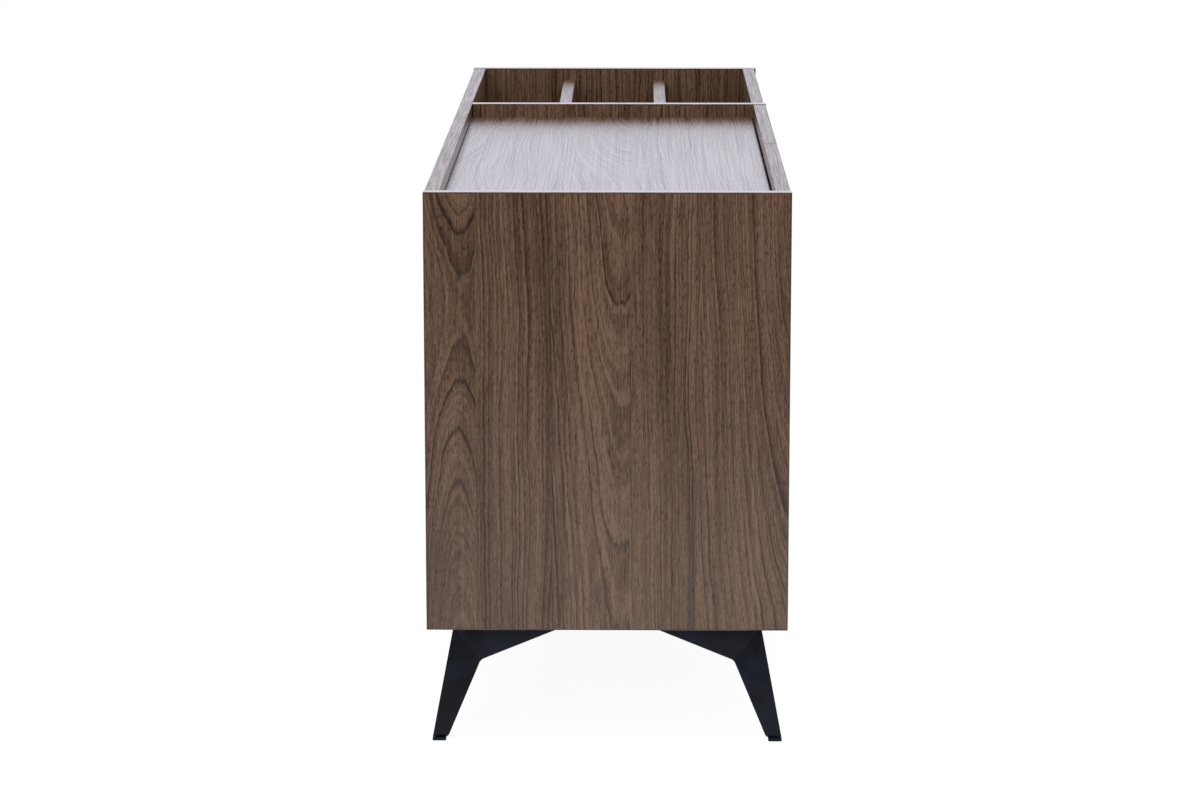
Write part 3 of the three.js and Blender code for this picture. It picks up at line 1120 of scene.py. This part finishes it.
@dataclass
class Board:
    """A laminated board with banded, eased edges.

    Attributes:
        normal: Axis square to its two faces.
        grain: Axis along the grain of its faces.
        seed: Chooses its strips and moves its noise.
        tone: Brightness of strips that are made up; above 1 it is painted light on boards that stand in
            brighter light.
        arches: Whether some of the strips that are made up are arched.
        planks: Its strips, or nothing to make them up.
        reverse: Whether the strips are counted from the high end.
        grooves: Low and high corners of the grooves cut in it.
        over_cut: How far a cutter starts outside the board.
        noise_step: Distance between the noise of two seeds.
        square: Least that a large face points along the normal.
    """

    FACE, LINE, BAND = range(3)

    node: str
    normal: Axis
    grain: Axis
    seed: int
    body: str = CARCASS
    tone: float = 1.0
    arches: bool = True
    planks: list[Plank] = field(default_factory=list)
    reverse: bool = False
    holes: list[Hole] = field(default_factory=list)
    grooves: list[tuple[Vector, Vector]] = field(default_factory=list)
    ease: float = 0.9 * MM
    band: float = 1.5 * MM
    hole_sides: int = 28
    over_cut: float = 1.0 * MM
    noise_step: float = 3.7
    square: float = 0.999

    def build(self, shop: Workshop) -> Piece:
        """Builds and dresses the board.

        Args:
            shop: The nodes and finishes.

        Returns:
            The board's object.
        """
        low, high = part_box(self.node)
        across = next(axis for axis in Axis if axis not in (self.normal, self.grain))
        start, end = low[across.value], high[across.value]
        lengthwise = (low[self.grain.value], high[self.grain.value])
        planks = self.planks or PlankMix().planks(
            end - start, lengthwise, self.seed, self.tone, self.arches)
        limits = (across, end, start) if self.reverse else (across, start, end)
        face = shop.walnut.sheet(
            f"{self.node}_laminate", limits, self.grain, planks, self.seed * self.noise_step)
        edge_axes = [across, self.grain]
        bands = [shop.bands[axis] for axis in edge_axes]
        materials = [face, shop.band_line, *bands, shop.core]
        piece = make_object(f"{self.node}_board", self.shape(low, high, edge_axes), materials)
        if self.holes or self.grooves:
            self.machine(piece, len(materials) - 1)
        return seat(piece, self.body, Slot.WALNUT, self.node)

    def shape(self, low: Vector, high: Vector, edge_axes: list[Axis]) -> Shape:
        """Shapes the board and marks its faces, band lines and bands.

        Args:
            low: Lowest corner.
            high: Highest corner.
            edge_axes: Axes that the bands run along, in the order of their material slots.

        Returns:
            The mesh.
        """
        shape = block((low + high) / 2, high - low, self.ease)
        shape.normal_update()
        across = self.normal.unit
        flat = [face for face in shape.faces if abs(face.normal.dot(across)) > self.square]
        faces = sorted(flat, key=lambda face: face.calc_area())[-2:]
        for face in shape.faces:
            spans = []
            for axis in edge_axes:
                places = [vert.co[axis.value] for vert in face.verts]
                spans.append(max(places) - min(places))
            face.material_index = self.BAND + spans.index(max(spans))
        lines = bmesh.ops.inset_individual(
            shape, faces=faces, thickness=self.band - self.ease, use_even_offset=True)
        for face in lines["faces"]:
            face.material_index = self.LINE
        for face in faces:
            face.material_index = self.FACE
        return shape

    def machine(self, piece: Piece, core_index: int) -> None:
        """Bores the holes and cuts the grooves.

        Args:
            piece: The board's object.
            core_index: Material slot of the cut surface.
        """
        cutter_shape = bmesh.new()
        for low, high in self.grooves:
            place = Matrix.Translation((low + high) / 2) @ Matrix.Diagonal((*(high - low), 1.0))
            bmesh.ops.create_cube(cutter_shape, size=1.0, matrix=place)
        for hole in self.holes:
            length = hole.depth + self.over_cut
            middle = hole.mouth + hole.inward * (length / 2 - self.over_cut)
            add_disc(cutter_shape, hole.radius, length, self.hole_sides, turned(middle, hole.inward))
        for face in cutter_shape.faces:
            face.material_index = core_index
        cutter = make_object(f"{piece.name}_drill", cutter_shape, list(piece.data.materials))
        modifier = piece.modifiers.new("bore", "BOOLEAN")
        modifier.operation = "DIFFERENCE"
        modifier.solver = "EXACT"
        modifier.object = cutter
        bpy.context.view_layer.update()
        evaluated = piece.evaluated_get(bpy.context.evaluated_depsgraph_get())
        bored = bpy.data.meshes.new_from_object(evaluated)
        piece.modifiers.clear()
        plain = piece.data
        piece.data = bored
        bored.name = piece.name
        bpy.data.meshes.remove(plain)
        bpy.data.objects.remove(cutter)


@dataclass(frozen=True)
class Fitting:
    """A metal fitting: its CAD shape with eased edges.

    Attributes:
        corner: Edges sharper than this are eased, in degrees.
        weld: Corners nearer than this are one.
        flat: Faces that meet at less than this are one, in degrees.
    """

    node: str
    body: str
    slot: Slot
    ease: float
    corner: float = 40.0
    weld: float = 0.002 * MM
    flat: float = 1.5

    def build(self, shop: Workshop) -> Piece:
        """Builds the fitting.

        Args:
            shop: The nodes and finishes.

        Returns:
            The fitting's object.
        """
        source = shop.nodes[self.node]
        shape = bmesh.new()
        shape.from_mesh(source.data)
        bmesh.ops.transform(shape, matrix=source.matrix_world, verts=shape.verts)
        bmesh.ops.remove_doubles(shape, verts=shape.verts, dist=self.weld)
        bmesh.ops.dissolve_limit(
            shape, angle_limit=math.radians(self.flat), verts=shape.verts, edges=shape.edges)
        corner = math.radians(self.corner)
        corners = [edge for edge in shape.edges if edge.is_manifold and edge.calc_face_angle() > corner]
        round_edges(shape, corners, self.ease, 2, clamp=True)
        return shop.mount(f"{self.node}_fitting", shape, self.body, self.slot, self.node)


@dataclass
class Carcass:
    """The fixed boards of the case, its bins and its shelf."""

    pin_radius: float = 2.8 * MM
    pin_depth: float = 9.3 * MM
    pin_pitch: float = 32.0 * MM
    pin_ease: float = 0.4 * MM
    spare_holes: int = 3
    cap_inset: float = 34.0 * MM
    cap_places: dict[str, tuple[float, ...]] = field(default_factory=lambda: {
        "cabinet_top": (-0.15, 0.0, 0.15),
        "bin_floor": (-0.15, 0.0, 0.15),
        "door_bay_bottom": (-0.03, 0.03),
        "drawer_bay_bottom": (-0.03, 0.03),
    })
    end_planks: list[Plank] = field(default_factory=lambda: [
        Plank(0.063, 0.044, 0.070, 0.12, 0.56),
        Plank(0.092, 0.300, 0.050, 0.05, 0.40, 0.97),
        Plank(0.098, 0.243, 0.100, 0.06, 0.02, 1.03),
        Plank(0.086, 0.060, 0.060, 0.05, 0.60),
        Plank(0.111, 0.470, 0.095, 0.16, 0.12),
    ])
    top_planks: list[Plank] = field(default_factory=lambda: [
        Plank(0.100, 0.300, 0.050, 0.05, -0.20),
        Plank(0.075, -0.080, 0.060, 0.04, -0.50, 1.02),
        Plank(0.090, 0.170, 0.095, 0.10, -0.55, 0.98),
        Plank(0.080, 0.450, 0.060, 0.05, 0.0, 1.03),
        Plank(0.080, 0.440, 0.080, 0.13, -0.35),
    ])

    def boards(self) -> list[Board]:
        """Lists the boards.

        Returns:
            Every fixed board.
        """
        along, inward, up = Axis
        return [
            Board("left_end_panel", along, up, 3, planks=self.end_planks, reverse=True,
                  holes=self.pin_holes("left", 1.0)),
            # The right end panel's tone of 1.09 and the bay divider's of 1.14 are painted light: they
            # lighten the bins' rear wall and the divider's face as if more light fell there.
            Board("right_end_panel", along, up, 11, tone=1.09, arches=False),
            Board("bay_divider", along, up, 17, tone=1.14, arches=False,
                  holes=self.pin_holes("right", -1.0)),
            Board("back_panel", inward, up, 23),
            Board("cabinet_top", up, along, 31, planks=self.top_planks),
            Board("door_bay_bottom", up, along, 37),
            Board("drawer_bay_bottom", up, along, 41),
            Board("bin_front", inward, up, 43),
            Board("bin_floor", up, along, 47),
            Board("bin_divider_front", inward, up, 53),
            Board("bin_divider_rear", inward, up, 59),
            Board("shelf", up, along, 61),
        ]

    def pin_holes(self, side: str, inward: float) -> list[Hole]:
        """Lists the shelf-pin holes of one wall of the door bay, with spare ones above and below.

        Args:
            side: left or right.
            inward: Direction along X from the wall into the bay.

        Returns:
            The holes.
        """
        low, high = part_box("left_end_panel" if side == "left" else "bay_divider")
        wall = high.x if inward > 0 else low.x
        holes = []
        for face in FACES:
            pin = middle_of(f"shelf_pin_{side}_{face}")
            for step in range(-self.spare_holes, self.spare_holes + 1):
                mouth = Vector((wall, pin.y, pin.z + step * self.pin_pitch))
                holes.append(Hole(mouth, Axis.X.unit * -inward, self.pin_radius, self.pin_depth))
        return holes

    def caps(self, node: str) -> list[Button]:
        """Lists the cam caps under a board, along both of its ends.

        Args:
            node: The board's CAD node.

        Returns:
            The caps.
        """
        low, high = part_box(node)
        return [
            Button(Vector((x, y, low.z)), DOWN)
            for x in (low.x + self.cap_inset, high.x - self.cap_inset)
            for y in self.cap_places[node]]

    def build(self, shop: Workshop) -> None:
        """Builds every fixed board, with its shelf pins and cam caps.

        Args:
            shop: The nodes and finishes.
        """
        for board in self.boards():
            board.build(shop)
        for side in ENDS:
            for face in FACES:
                Fitting(f"shelf_pin_{side}_{face}", CARCASS, Slot.NICKEL, self.pin_ease).build(shop)
        for node in self.cap_places:
            shop.fix(f"{node}_cam_caps", self.caps(node), CARCASS, Slot.PLASTIC)


@dataclass
class Hinge:
    """A concealed hinge: cup in the door, arm on its mounting plate, and their screws.

    Attributes:
        ear: Distance from the cup's middle to a screw in its flange.
        plate_screw: Distance from the plate's middle to a screw in it.
        crown: Height of the arm above the plate.
        adjust: Distance between the two screws in the arm.
    """

    side: str
    place: str
    bore_radius: float = 17.8 * MM
    bore_depth: float = 11.8 * MM
    ear: float = 23.6 * MM
    plate_screw: float = 17.5 * MM
    crown: float = 10.3 * MM
    adjust: float = 22.0 * MM
    cup_ease: float = 0.35 * MM
    arm_ease: float = 1.0 * MM
    arm_corner: float = 20.0
    plate_ease: float = 0.8 * MM
    ear_head: Limits = (3.6 * MM, 1.3 * MM)
    plate_head: Limits = (4.0 * MM, 1.5 * MM)
    arm_head: Limits = (3.2 * MM, 1.1 * MM)

    def bore(self) -> Hole:
        """Gives the cup's hole in the door.

        Returns:
            The hole.
        """
        cup = middle_of(f"{self.side}_hinge_cup_{self.place}")
        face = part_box(f"{self.side}_door")[1].y
        return Hole(Vector((cup.x, face, cup.z)), -Axis.Y.unit, self.bore_radius, self.bore_depth)

    def build(self, shop: Workshop) -> None:
        """Builds the hinge.

        Args:
            shop: The nodes and finishes.
        """
        leaf = f"{self.side}_door_leaf"
        name = f"{self.side}_hinge"
        nodes = [f"{name}_{part}_{self.place}" for part in ("cup", "arm", "plate")]
        cup_node, arm_node, plate_node = nodes
        Fitting(cup_node, leaf, Slot.NICKEL, self.cup_ease).build(shop)
        Fitting(arm_node, CARCASS, Slot.NICKEL, self.arm_ease, self.arm_corner).build(shop)
        Fitting(plate_node, CARCASS, Slot.NICKEL, self.plate_ease).build(shop)
        cup = middle_of(cup_node)
        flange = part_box(cup_node)[1].y
        ears = [Screw(Vector((cup.x, flange, cup.z + rise)), Axis.Y.unit, *self.ear_head)
                for rise in (-self.ear, self.ear)]
        shop.fix(f"{name}_cup_screws_{self.place}", ears, leaf, Slot.ZINC)
        low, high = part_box(plate_node)
        out = Axis.X.unit if self.side == "left" else -Axis.X.unit
        face = high.x if self.side == "left" else low.x
        plate = (low + high) / 2
        held = [Screw(Vector((face, plate.y, plate.z + rise)), out, *self.plate_head)
                for rise in (-self.plate_screw, self.plate_screw)]
        crown = face + out.x * self.crown
        held += [Screw(Vector((crown, plate.y + run, plate.z)), out, *self.arm_head)
                 for run in (0.0, self.adjust)]
        shop.fix(f"{name}_plate_screws_{self.place}", held, CARCASS, Slot.ZINC)


@dataclass
class Door:
    """A hinged door with its hinges and bumpers."""

    side: str
    seed: int
    bore_sides: int = 48
    bumper_crown: float = 0.8

    def build(self, shop: Workshop) -> None:
        """Builds the door with its hinges and bumpers.

        Args:
            shop: The nodes and finishes.
        """
        leaf = f"{self.side}_door_leaf"
        hinges = [Hinge(self.side, place) for place in HEIGHTS]
        bores = [hinge.bore() for hinge in hinges]
        Board(f"{self.side}_door", Axis.Y, Axis.Z, self.seed, body=leaf, holes=bores,
              hole_sides=self.bore_sides).build(shop)
        for hinge in hinges:
            hinge.build(shop)
        for place in HEIGHTS:
            node = f"{self.side}_bumper_{place}"
            low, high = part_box(node)
            middle = (low + high) / 2
            foot = Vector((middle.x, low.y, middle.z))
            radius = (high.x - low.x) / 2
            bumper = Button(foot, Axis.Y.unit, radius, high.y - low.y, self.bumper_crown)
            shop.fix(f"{node}_pad", [bumper], leaf, Slot.RUBBER, node)


@dataclass
class Slide:
    """A ball-bearing slide of three members.

    Attributes:
        lever: Sides of the release lever.
        lever_at: Where along Y it sits.
    """

    side: str
    ease: float = 0.35 * MM
    sheet: float = 1.2 * MM
    screw_places: tuple[float, ...] = (-0.16, -0.02, 0.11)
    screw_head: Limits = (3.6 * MM, 1.6 * MM)
    lever: Point = (2.0 * MM, 36.0 * MM, 6.0 * MM)
    lever_at: float = -0.09
    lever_ease: float = 0.7 * MM

    def build(self, shop: Workshop) -> None:
        """Builds the slide with the screws and the release lever of its drawer member.

        Args:
            shop: The nodes and finishes.
        """
        for member, body in (("cabinet", CARCASS), ("middle", "slide_middles"), ("drawer", "drawer")):
            Fitting(f"{self.side}_slide_{member}", body, Slot.ZINC, self.ease).build(shop)
        low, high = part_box(f"{self.side}_slide_drawer")
        web, out = (high.x, -1.0) if self.side == "left" else (low.x, 1.0)
        inner = web + out * self.sheet
        level = (low.z + high.z) / 2
        facing = Axis.X.unit * out
        screws = [Screw(Vector((inner, y, level)), facing, *self.screw_head) for y in self.screw_places]
        shop.fix(f"{self.side}_slide_screws", screws, "drawer", Slot.ZINC)
        middle = Vector((inner + out * self.lever[0] / 2, self.lever_at, level))
        lever = block(middle, Vector(self.lever), self.lever_ease)
        shop.mount(f"{self.side}_slide_release_lever", lever, "drawer", Slot.PLASTIC, crisp=0.0)


@dataclass
class Drawer:
    """The drawer under the bins."""

    body: str = "drawer"
    groove_room: float = 0.3 * MM
    screw_inset: Vector = field(default_factory=lambda: Vector((0.07, 0.0, 0.05)))

    def build(self, shop: Workshop) -> None:
        """Builds the drawer's boards, the screws of its front, and its slides.

        Args:
            shop: The nodes and finishes.
        """
        low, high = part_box("drawer_box_bottom")
        room = Vector((self.groove_room,) * 3)
        groove = [(low - room, high + room)]
        for node, normal, grain, seed, grooves in (
            ("drawer_front", Axis.Y, Axis.Z, 71, []),
            ("drawer_box_left", Axis.X, Axis.Y, 73, groove),
            ("drawer_box_right", Axis.X, Axis.Y, 79, groove),
            ("drawer_box_front", Axis.Y, Axis.X, 83, groove),
            ("drawer_box_back", Axis.Y, Axis.X, 89, groove),
            ("drawer_box_bottom", Axis.Z, Axis.X, 97, []),
        ):
            Board(node, normal, grain, seed, body=self.body, grooves=grooves).build(shop)
        low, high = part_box("drawer_box_front")
        start, end = low + self.screw_inset, high - self.screw_inset
        screws = [Screw(Vector((x, high.y, z)), Axis.Y.unit)
                  for x in (start.x, end.x) for z in (start.z, end.z)]
        shop.fix("drawer_front_screws", screws, self.body, Slot.ZINC)
        for side in ENDS:
            Slide(side).build(shop)


@dataclass
class Leg:
    """A folded sheet leg, drawn for one corner and mirrored to its own.

    Attributes:
        face: front or back.
        end: left or right.
        plug_height: Height of the foot plate.
        plug_taper: How far it narrows towards its sole.
        plate_overlap: Share of the sheet that the mounting plate reaches into.
        plate_room: Room between that plate and the case.
    """

    face: str
    end: str
    sheet: float = 3.0 * MM
    inset: float = 32.0 * MM
    foot_inset: float = 5.5 * MM
    foot_width: float = 20.0 * MM
    knee_inset: float = 66.0 * MM
    knee_drop: float = 46.5 * MM
    knee_fillet: float = 7.0 * MM
    arm_inset: float = 179.0 * MM
    arm_tip: float = 14.0 * MM
    plug_height: float = 2.8 * MM
    plug_taper: float = 1.8 * MM
    plate_overlap: float = 0.6
    plate_room: float = 0.1 * MM
    fold_radius: float = 2.6 * MM
    sheet_ease: float = 0.4 * MM
    sheet_corner: float = 50.0
    plate_ease: float = 0.3 * MM
    screw_head: Limits = (4.6 * MM, 2.2 * MM)
    screw_places: tuple[Limits, ...] = (
        (47.5 * MM, 47.5 * MM), (145.0 * MM, 43.5 * MM), (43.5 * MM, 145.0 * MM))

    @property
    def node(self) -> str:
        """CAD node of the leg."""
        return f"leg_{self.face}_{self.end}"

    @property
    def height(self) -> float:
        """Height of the leg without its glide."""
        low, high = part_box(self.node)
        return high.z - low.z

    @property
    def top(self) -> Vector:
        """Top of the fold."""
        return Vector((self.inset, self.inset, 0.0))

    @property
    def knee(self) -> Vector:
        """Knee of one side."""
        return Vector((self.inset, self.knee_inset, -self.knee_drop))

    def to_corner(self) -> Matrix:
        """Gives the matrix from one corner's drawing to this corner of the case.

        Returns:
            The matrix, with its mirrors.
        """
        low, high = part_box(self.node)
        along = 1.0 if self.end == "left" else -1.0
        inward = 1.0 if self.face == "front" else -1.0
        corner = Vector((
            (low.x if along > 0 else high.x) - along * self.foot_inset,
            (low.y if inward > 0 else high.y) - inward * self.foot_inset,
            high.z))
        return Matrix.Translation(corner) @ Matrix.Diagonal((along, inward, 1.0, 1.0))

    def mount(self, shop: Workshop, part: str, shape: Shape, *nodes: str) -> Piece:
        """Moves a drawn part to this corner, turns its faces outwards and makes it a piece.

        Args:
            shop: The nodes and finishes.
            part: Name of the part.
            shape: Its mesh.
            *nodes: CAD nodes that it replaces.

        Returns:
            The piece.
        """
        place = self.to_corner()
        bmesh.ops.transform(shape, matrix=place, verts=shape.verts)
        if place.determinant() < 0:
            bmesh.ops.reverse_faces(shape, faces=shape.faces[:])
        name = f"{self.node}_{part}"
        return shop.mount(name, shape, CARCASS, Slot.BLACK_STEEL, *nodes, crisp=0.0)

    def build(self, shop: Workshop) -> None:
        """Builds the leg's sheet, its mounting plate and its foot.

        Args:
            shop: The nodes and finishes.
        """
        sheet = self.mount(shop, "sheet", self.fold(), self.node)
        wall = sheet.modifiers.new("sheet_thickness", "SOLIDIFY")
        wall.thickness = self.sheet
        wall.offset = -1.0
        wall.use_even_offset = True
        ease = sheet.modifiers.new("eased_edges", "BEVEL")
        ease.width = self.sheet_ease
        ease.segments = 2
        ease.limit_method = "ANGLE"
        ease.angle_limit = math.radians(self.sheet_corner)
        for polygon in sheet.data.polygons:
            polygon.use_smooth = True
        self.mount(shop, "mounting_plate", self.plate())
        heads = [self.to_corner() @ Vector((x, y, -self.sheet)) for x, y in self.screw_places]
        screws = [Screw(head, DOWN, *self.screw_head) for head in heads]
        shop.fix(f"{self.node}_screws", screws, CARCASS, Slot.ZINC)
        self.mount(shop, "foot_plate", self.plug())

    def fold(self) -> Shape:
        """Draws the outer skin of the folded sheet.

        Returns:
            The mesh, open, with its folds rounded.
        """
        top, knee = self.top, self.knee
        tip = Vector((self.inset, self.arm_inset, 0.0))
        foot, foot_side = self.foot_points()
        to_tip = (tip - knee).normalized()
        to_foot = (foot_side - knee).normalized()
        half_angle = to_tip.angle(to_foot) / 2
        tangent = self.knee_fillet / math.tan(half_angle)
        bulge = self.knee_fillet / math.sin(half_angle) - self.knee_fillet
        half = [
            tip,
            knee + to_tip * tangent,
            knee + (knee - top).normalized() * bulge,
            knee + to_foot * tangent,
            foot_side,
        ]
        shape = bmesh.new()
        start = shape.verts.new(top)
        end = shape.verts.new(foot)
        one = [shape.verts.new(point) for point in half]
        other = [shape.verts.new((point.y, point.x, point.z)) for point in half]
        shape.faces.new([start, one[0], one[1], one[2]])
        shape.faces.new([start, one[2], one[3], one[4], end])
        shape.faces.new([start, other[2], other[1], other[0]])
        shape.faces.new([start, end, other[4], other[3], other[2]])
        folds = [edge for edge in shape.edges if len(edge.link_faces) == 2]
        round_edges(shape, folds, self.fold_radius, 4)
        bmesh.ops.recalc_face_normals(shape, faces=shape.faces[:])
        shape.normal_update()
        outward = Vector((-1.0, -1.0, 0.0))
        if sum(face.normal.dot(outward) * face.calc_area() for face in shape.faces) < 0:
            bmesh.ops.reverse_faces(shape, faces=shape.faces[:])
        return shape

    def foot_points(self) -> tuple[Vector, Vector]:
        """Finds where the fold and a side of the sheet end, just above the foot plate.

        Returns:
            The end of the fold and the end of the side.
        """
        top, knee, height = self.top, self.knee, self.height
        ground = Vector((self.foot_inset, self.foot_inset, -height))
        square = (knee - top).cross(ground - top)
        outer = self.foot_inset + self.foot_width
        side = intersect_line_plane(
            Vector((-1.0, outer, -height)), Vector((1.0, outer, -height)), top, square)
        return (
            ground.lerp(top, self.plug_height / height),
            side.lerp(knee, self.plug_height / (height - self.knee_drop)))

    def eased(self, shape: Shape) -> Shape:
        """Turns a plate's faces outwards and eases all its edges.

        Args:
            shape: The mesh.

        Returns:
            The same mesh.
        """
        bmesh.ops.recalc_face_normals(shape, faces=shape.faces[:])
        round_edges(shape, shape.edges[:], self.plate_ease, 2)
        return shape

    def plate(self) -> Shape:
        """Draws the mounting plate under the case.

        Returns:
            The mesh.
        """
        edge = self.inset + self.sheet * self.plate_overlap
        inside = edge + self.arm_tip
        tip = self.arm_inset - 2 * self.sheet
        corners = [(edge, edge), (tip, edge), (tip, inside), (inside, tip), (edge, tip)]
        shape, _ = slab(corners, -self.sheet, self.sheet - self.plate_room)
        return self.eased(shape)

    def plug(self) -> Shape:
        """Draws the tapered foot plate that closes the fold.

        Returns:
            The mesh.
        """
        foot, side = self.foot_points()
        rim = [(foot.x, foot.y), (side.y, side.x), (side.y, side.y), (side.x, side.y)]
        shape, sole = slab(rim, foot.z, -self.plug_height)
        middle = (foot.x + side.y) / 2
        narrow = 1 - 2 * self.plug_taper / self.foot_width
        centre = Matrix.Translation((-middle, -middle, 0.0))
        bmesh.ops.scale(shape, vec=(narrow, narrow, 1.0), space=centre, verts=sole)
        return self.eased(shape)


@dataclass
class Glide:
    """A plastic glide under a leg: its pad and the stem above it."""

    face: str
    end: str
    pad: float = 4.2 * MM
    ease: float = 0.9 * MM
    stem: float = 2.5 * MM
    stem_sides: int = 20

    def build(self, shop: Workshop) -> None:
        """Builds the pad and its stem.

        Args:
            shop: The nodes and finishes.
        """
        node = f"glide_{self.face}_{self.end}"
        low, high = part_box(node)
        middle = (low + high) / 2
        shape = block(
            Vector((middle.x, middle.y, low.z + self.pad / 2)),
            Vector((high.x - low.x, high.y - low.y, self.pad)),
            self.ease)
        rise = high.z - low.z - self.pad
        place = Matrix.Translation((middle.x, middle.y, high.z - rise / 2))
        add_disc(shape, self.stem, rise, self.stem_sides, place)
        shop.mount(f"{node}_pad", shape, CARCASS, Slot.PLASTIC, node, crisp=0.0)


@dataclass(frozen=True)
class Lamp:
    """A soft square lamp that faces a target, which glossy surfaces may mirror."""

    name: str
    place: Point
    target: Point
    size: float
    power: float
    mirrored: bool = True

    def hang(self) -> None:
        """Hangs the lamp, out of the camera's sight."""
        data = bpy.data.lights.new(self.name, "AREA")
        data.size = self.size
        data.energy = self.power
        lamp = bpy.data.objects.new(self.name, data)
        lamp.location = self.place
        aim = Vector(self.target) - Vector(self.place)
        lamp.rotation_euler = aim.to_track_quat("-Z", "Y").to_euler()
        lamp.visible_camera = False
        lamp.visible_glossy = self.mirrored
        bpy.context.scene.collection.objects.link(lamp)


@dataclass
class Studio:
    """Camera, lights, pale floor and white surroundings.

    Attributes:
        camera_down: How far the camera looks down, in degrees.
        camera_turn: How far it is turned from the length of the case, in degrees.
        floor_glow: Light of the floor to the camera.
        floor_sheen: Light that it adds to that in glossy surfaces.
        floor_share: Share of that light in how the floor looks.
        ambient: Strength of the surroundings' light.
        dark_side: Their light in glossy surfaces on the camera's side.
        bright_side: The same on the far side.
    """

    camera_place: Point = (-5.1613, -0.0366, 1.3177)
    camera_down: float = 11.209
    camera_turn: float = 0.586
    lens: float = 110.43
    sensor: float = 36.0
    far_clip: float = 100.0
    floor_low: Limits = (-2.4, -5.0)
    floor_high: Limits = (9.0, 5.0)
    floor_level: float = -0.2 * MM
    floor_colour: Colour = (0.86, 0.86, 0.87, 1.0)
    floor_glow: float = 1.1
    floor_sheen: float = 0.15
    floor_share: float = 0.85
    fill: Colour = (0.97, 0.985, 1.0, 1.0)
    ambient: float = 0.55
    sheen: Colour = (0.98, 1.03, 1.19, 1.0)
    dark_side: float = 0.05
    bright_side: float = 1.5
    lamps: tuple[Lamp, ...] = (
        Lamp("overhead_softbox", (-0.6, 0.0, 3.2), (0.0, 0.0, 0.4), 3.4, 50.0),
        Lamp("camera_side_softbox", (-4.6, 1.6, 2.6), (-0.7, 0.0, 0.4), 2.6, 60.0, False))

    def build(self) -> None:
        """Builds the whole studio."""
        self.camera()
        self.floor()
        self.world()
        for lamp in self.lamps:
            lamp.hang()

    def camera(self) -> None:
        """Sets the camera at the photograph's viewing angle."""
        data = bpy.data.cameras.new("photo_camera")
        data.lens = self.lens
        data.sensor_fit = "HORIZONTAL"
        data.sensor_width = self.sensor
        data.clip_end = self.far_clip
        camera = bpy.data.objects.new("photo_camera", data)
        camera.location = self.camera_place
        camera.rotation_euler = Euler((
            math.radians(90 - self.camera_down), 0.0, math.radians(self.camera_turn - 90)))
        bpy.context.scene.collection.objects.link(camera)
        bpy.context.scene.camera = camera

    def floor(self) -> None:
        """Lays the pale floor, which is white to the camera and keeps the shadow."""
        low, high = Vector(self.floor_low), Vector(self.floor_high)
        size, middle = high - low, (low + high) / 2
        shape = bmesh.new()
        bmesh.ops.create_grid(shape, x_segments=1, y_segments=1, size=0.5)
        bmesh.ops.scale(shape, vec=(size.x, size.y, 1.0), verts=shape.verts)
        bmesh.ops.translate(shape, vec=(middle.x, middle.y, self.floor_level), verts=shape.verts)
        graph = Graph.named("pale_floor")
        graph.surface(self.floor_colour, 1.0, {"Specular IOR Level": 0.0})
        rays = graph.add("LightPath").outputs
        glow = graph.math("MULTIPLY_ADD", rays["Is Glossy Ray"], self.floor_sheen, self.floor_glow)
        seen = graph.math("MAXIMUM", rays["Is Camera Ray"], rays["Is Glossy Ray"])
        seen = graph.math("MAXIMUM", seen, rays["Is Transmission Ray"])
        graph.show(graph.mix(
            graph.times(seen, self.floor_share),
            graph.shader.outputs[0],
            graph.light("Emission", WHITE, glow)))
        make_object("studio_floor", shape, [graph.owner])

    def world(self) -> None:
        """Makes the surroundings: white to the camera, bright behind and dim on the camera's side."""
        graph = Graph(bpy.data.worlds.new("studio"))
        bpy.context.scene.world = graph.owner
        graph.feed_all(graph.shader, (self.fill, self.ambient))
        rays = graph.add("LightPath").outputs
        ahead = graph.split(graph.add("TexCoord").outputs["Generated"])[0]
        far_share = graph.math("ADD", ahead, 0.5, clamp=True)
        level = graph.math(
            "MULTIPLY_ADD", far_share, self.bright_side - self.dark_side, self.dark_side)
        lit = graph.mix(
            rays["Is Glossy Ray"],
            graph.shader.outputs[0],
            graph.light("Background", self.sheen, level))
        seen = graph.math("MAXIMUM", rays["Is Camera Ray"], rays["Is Transmission Ray"])
        graph.show(graph.mix(seen, lit, graph.light("Background", WHITE, 1.0)))


def main() -> None:
    """Builds the credenza's looks in order."""
    logging.basicConfig(level=logging.INFO, format="%(name)s: %(message)s")
    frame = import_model()
    bpy.context.scene.view_settings.view_transform = "Standard"
    Studio().build()
    shop = Workshop(frame["nodes"])
    Carcass().build(shop)
    Door("left", 101).build(shop)
    Door("right", 103).build(shop)
    Drawer().build(shop)
    for end in ENDS:
        for face in FACES:
            Leg(face, end).build(shop)
            Glide(face, end).build(shop)


if __name__ == "__main__":
    main()
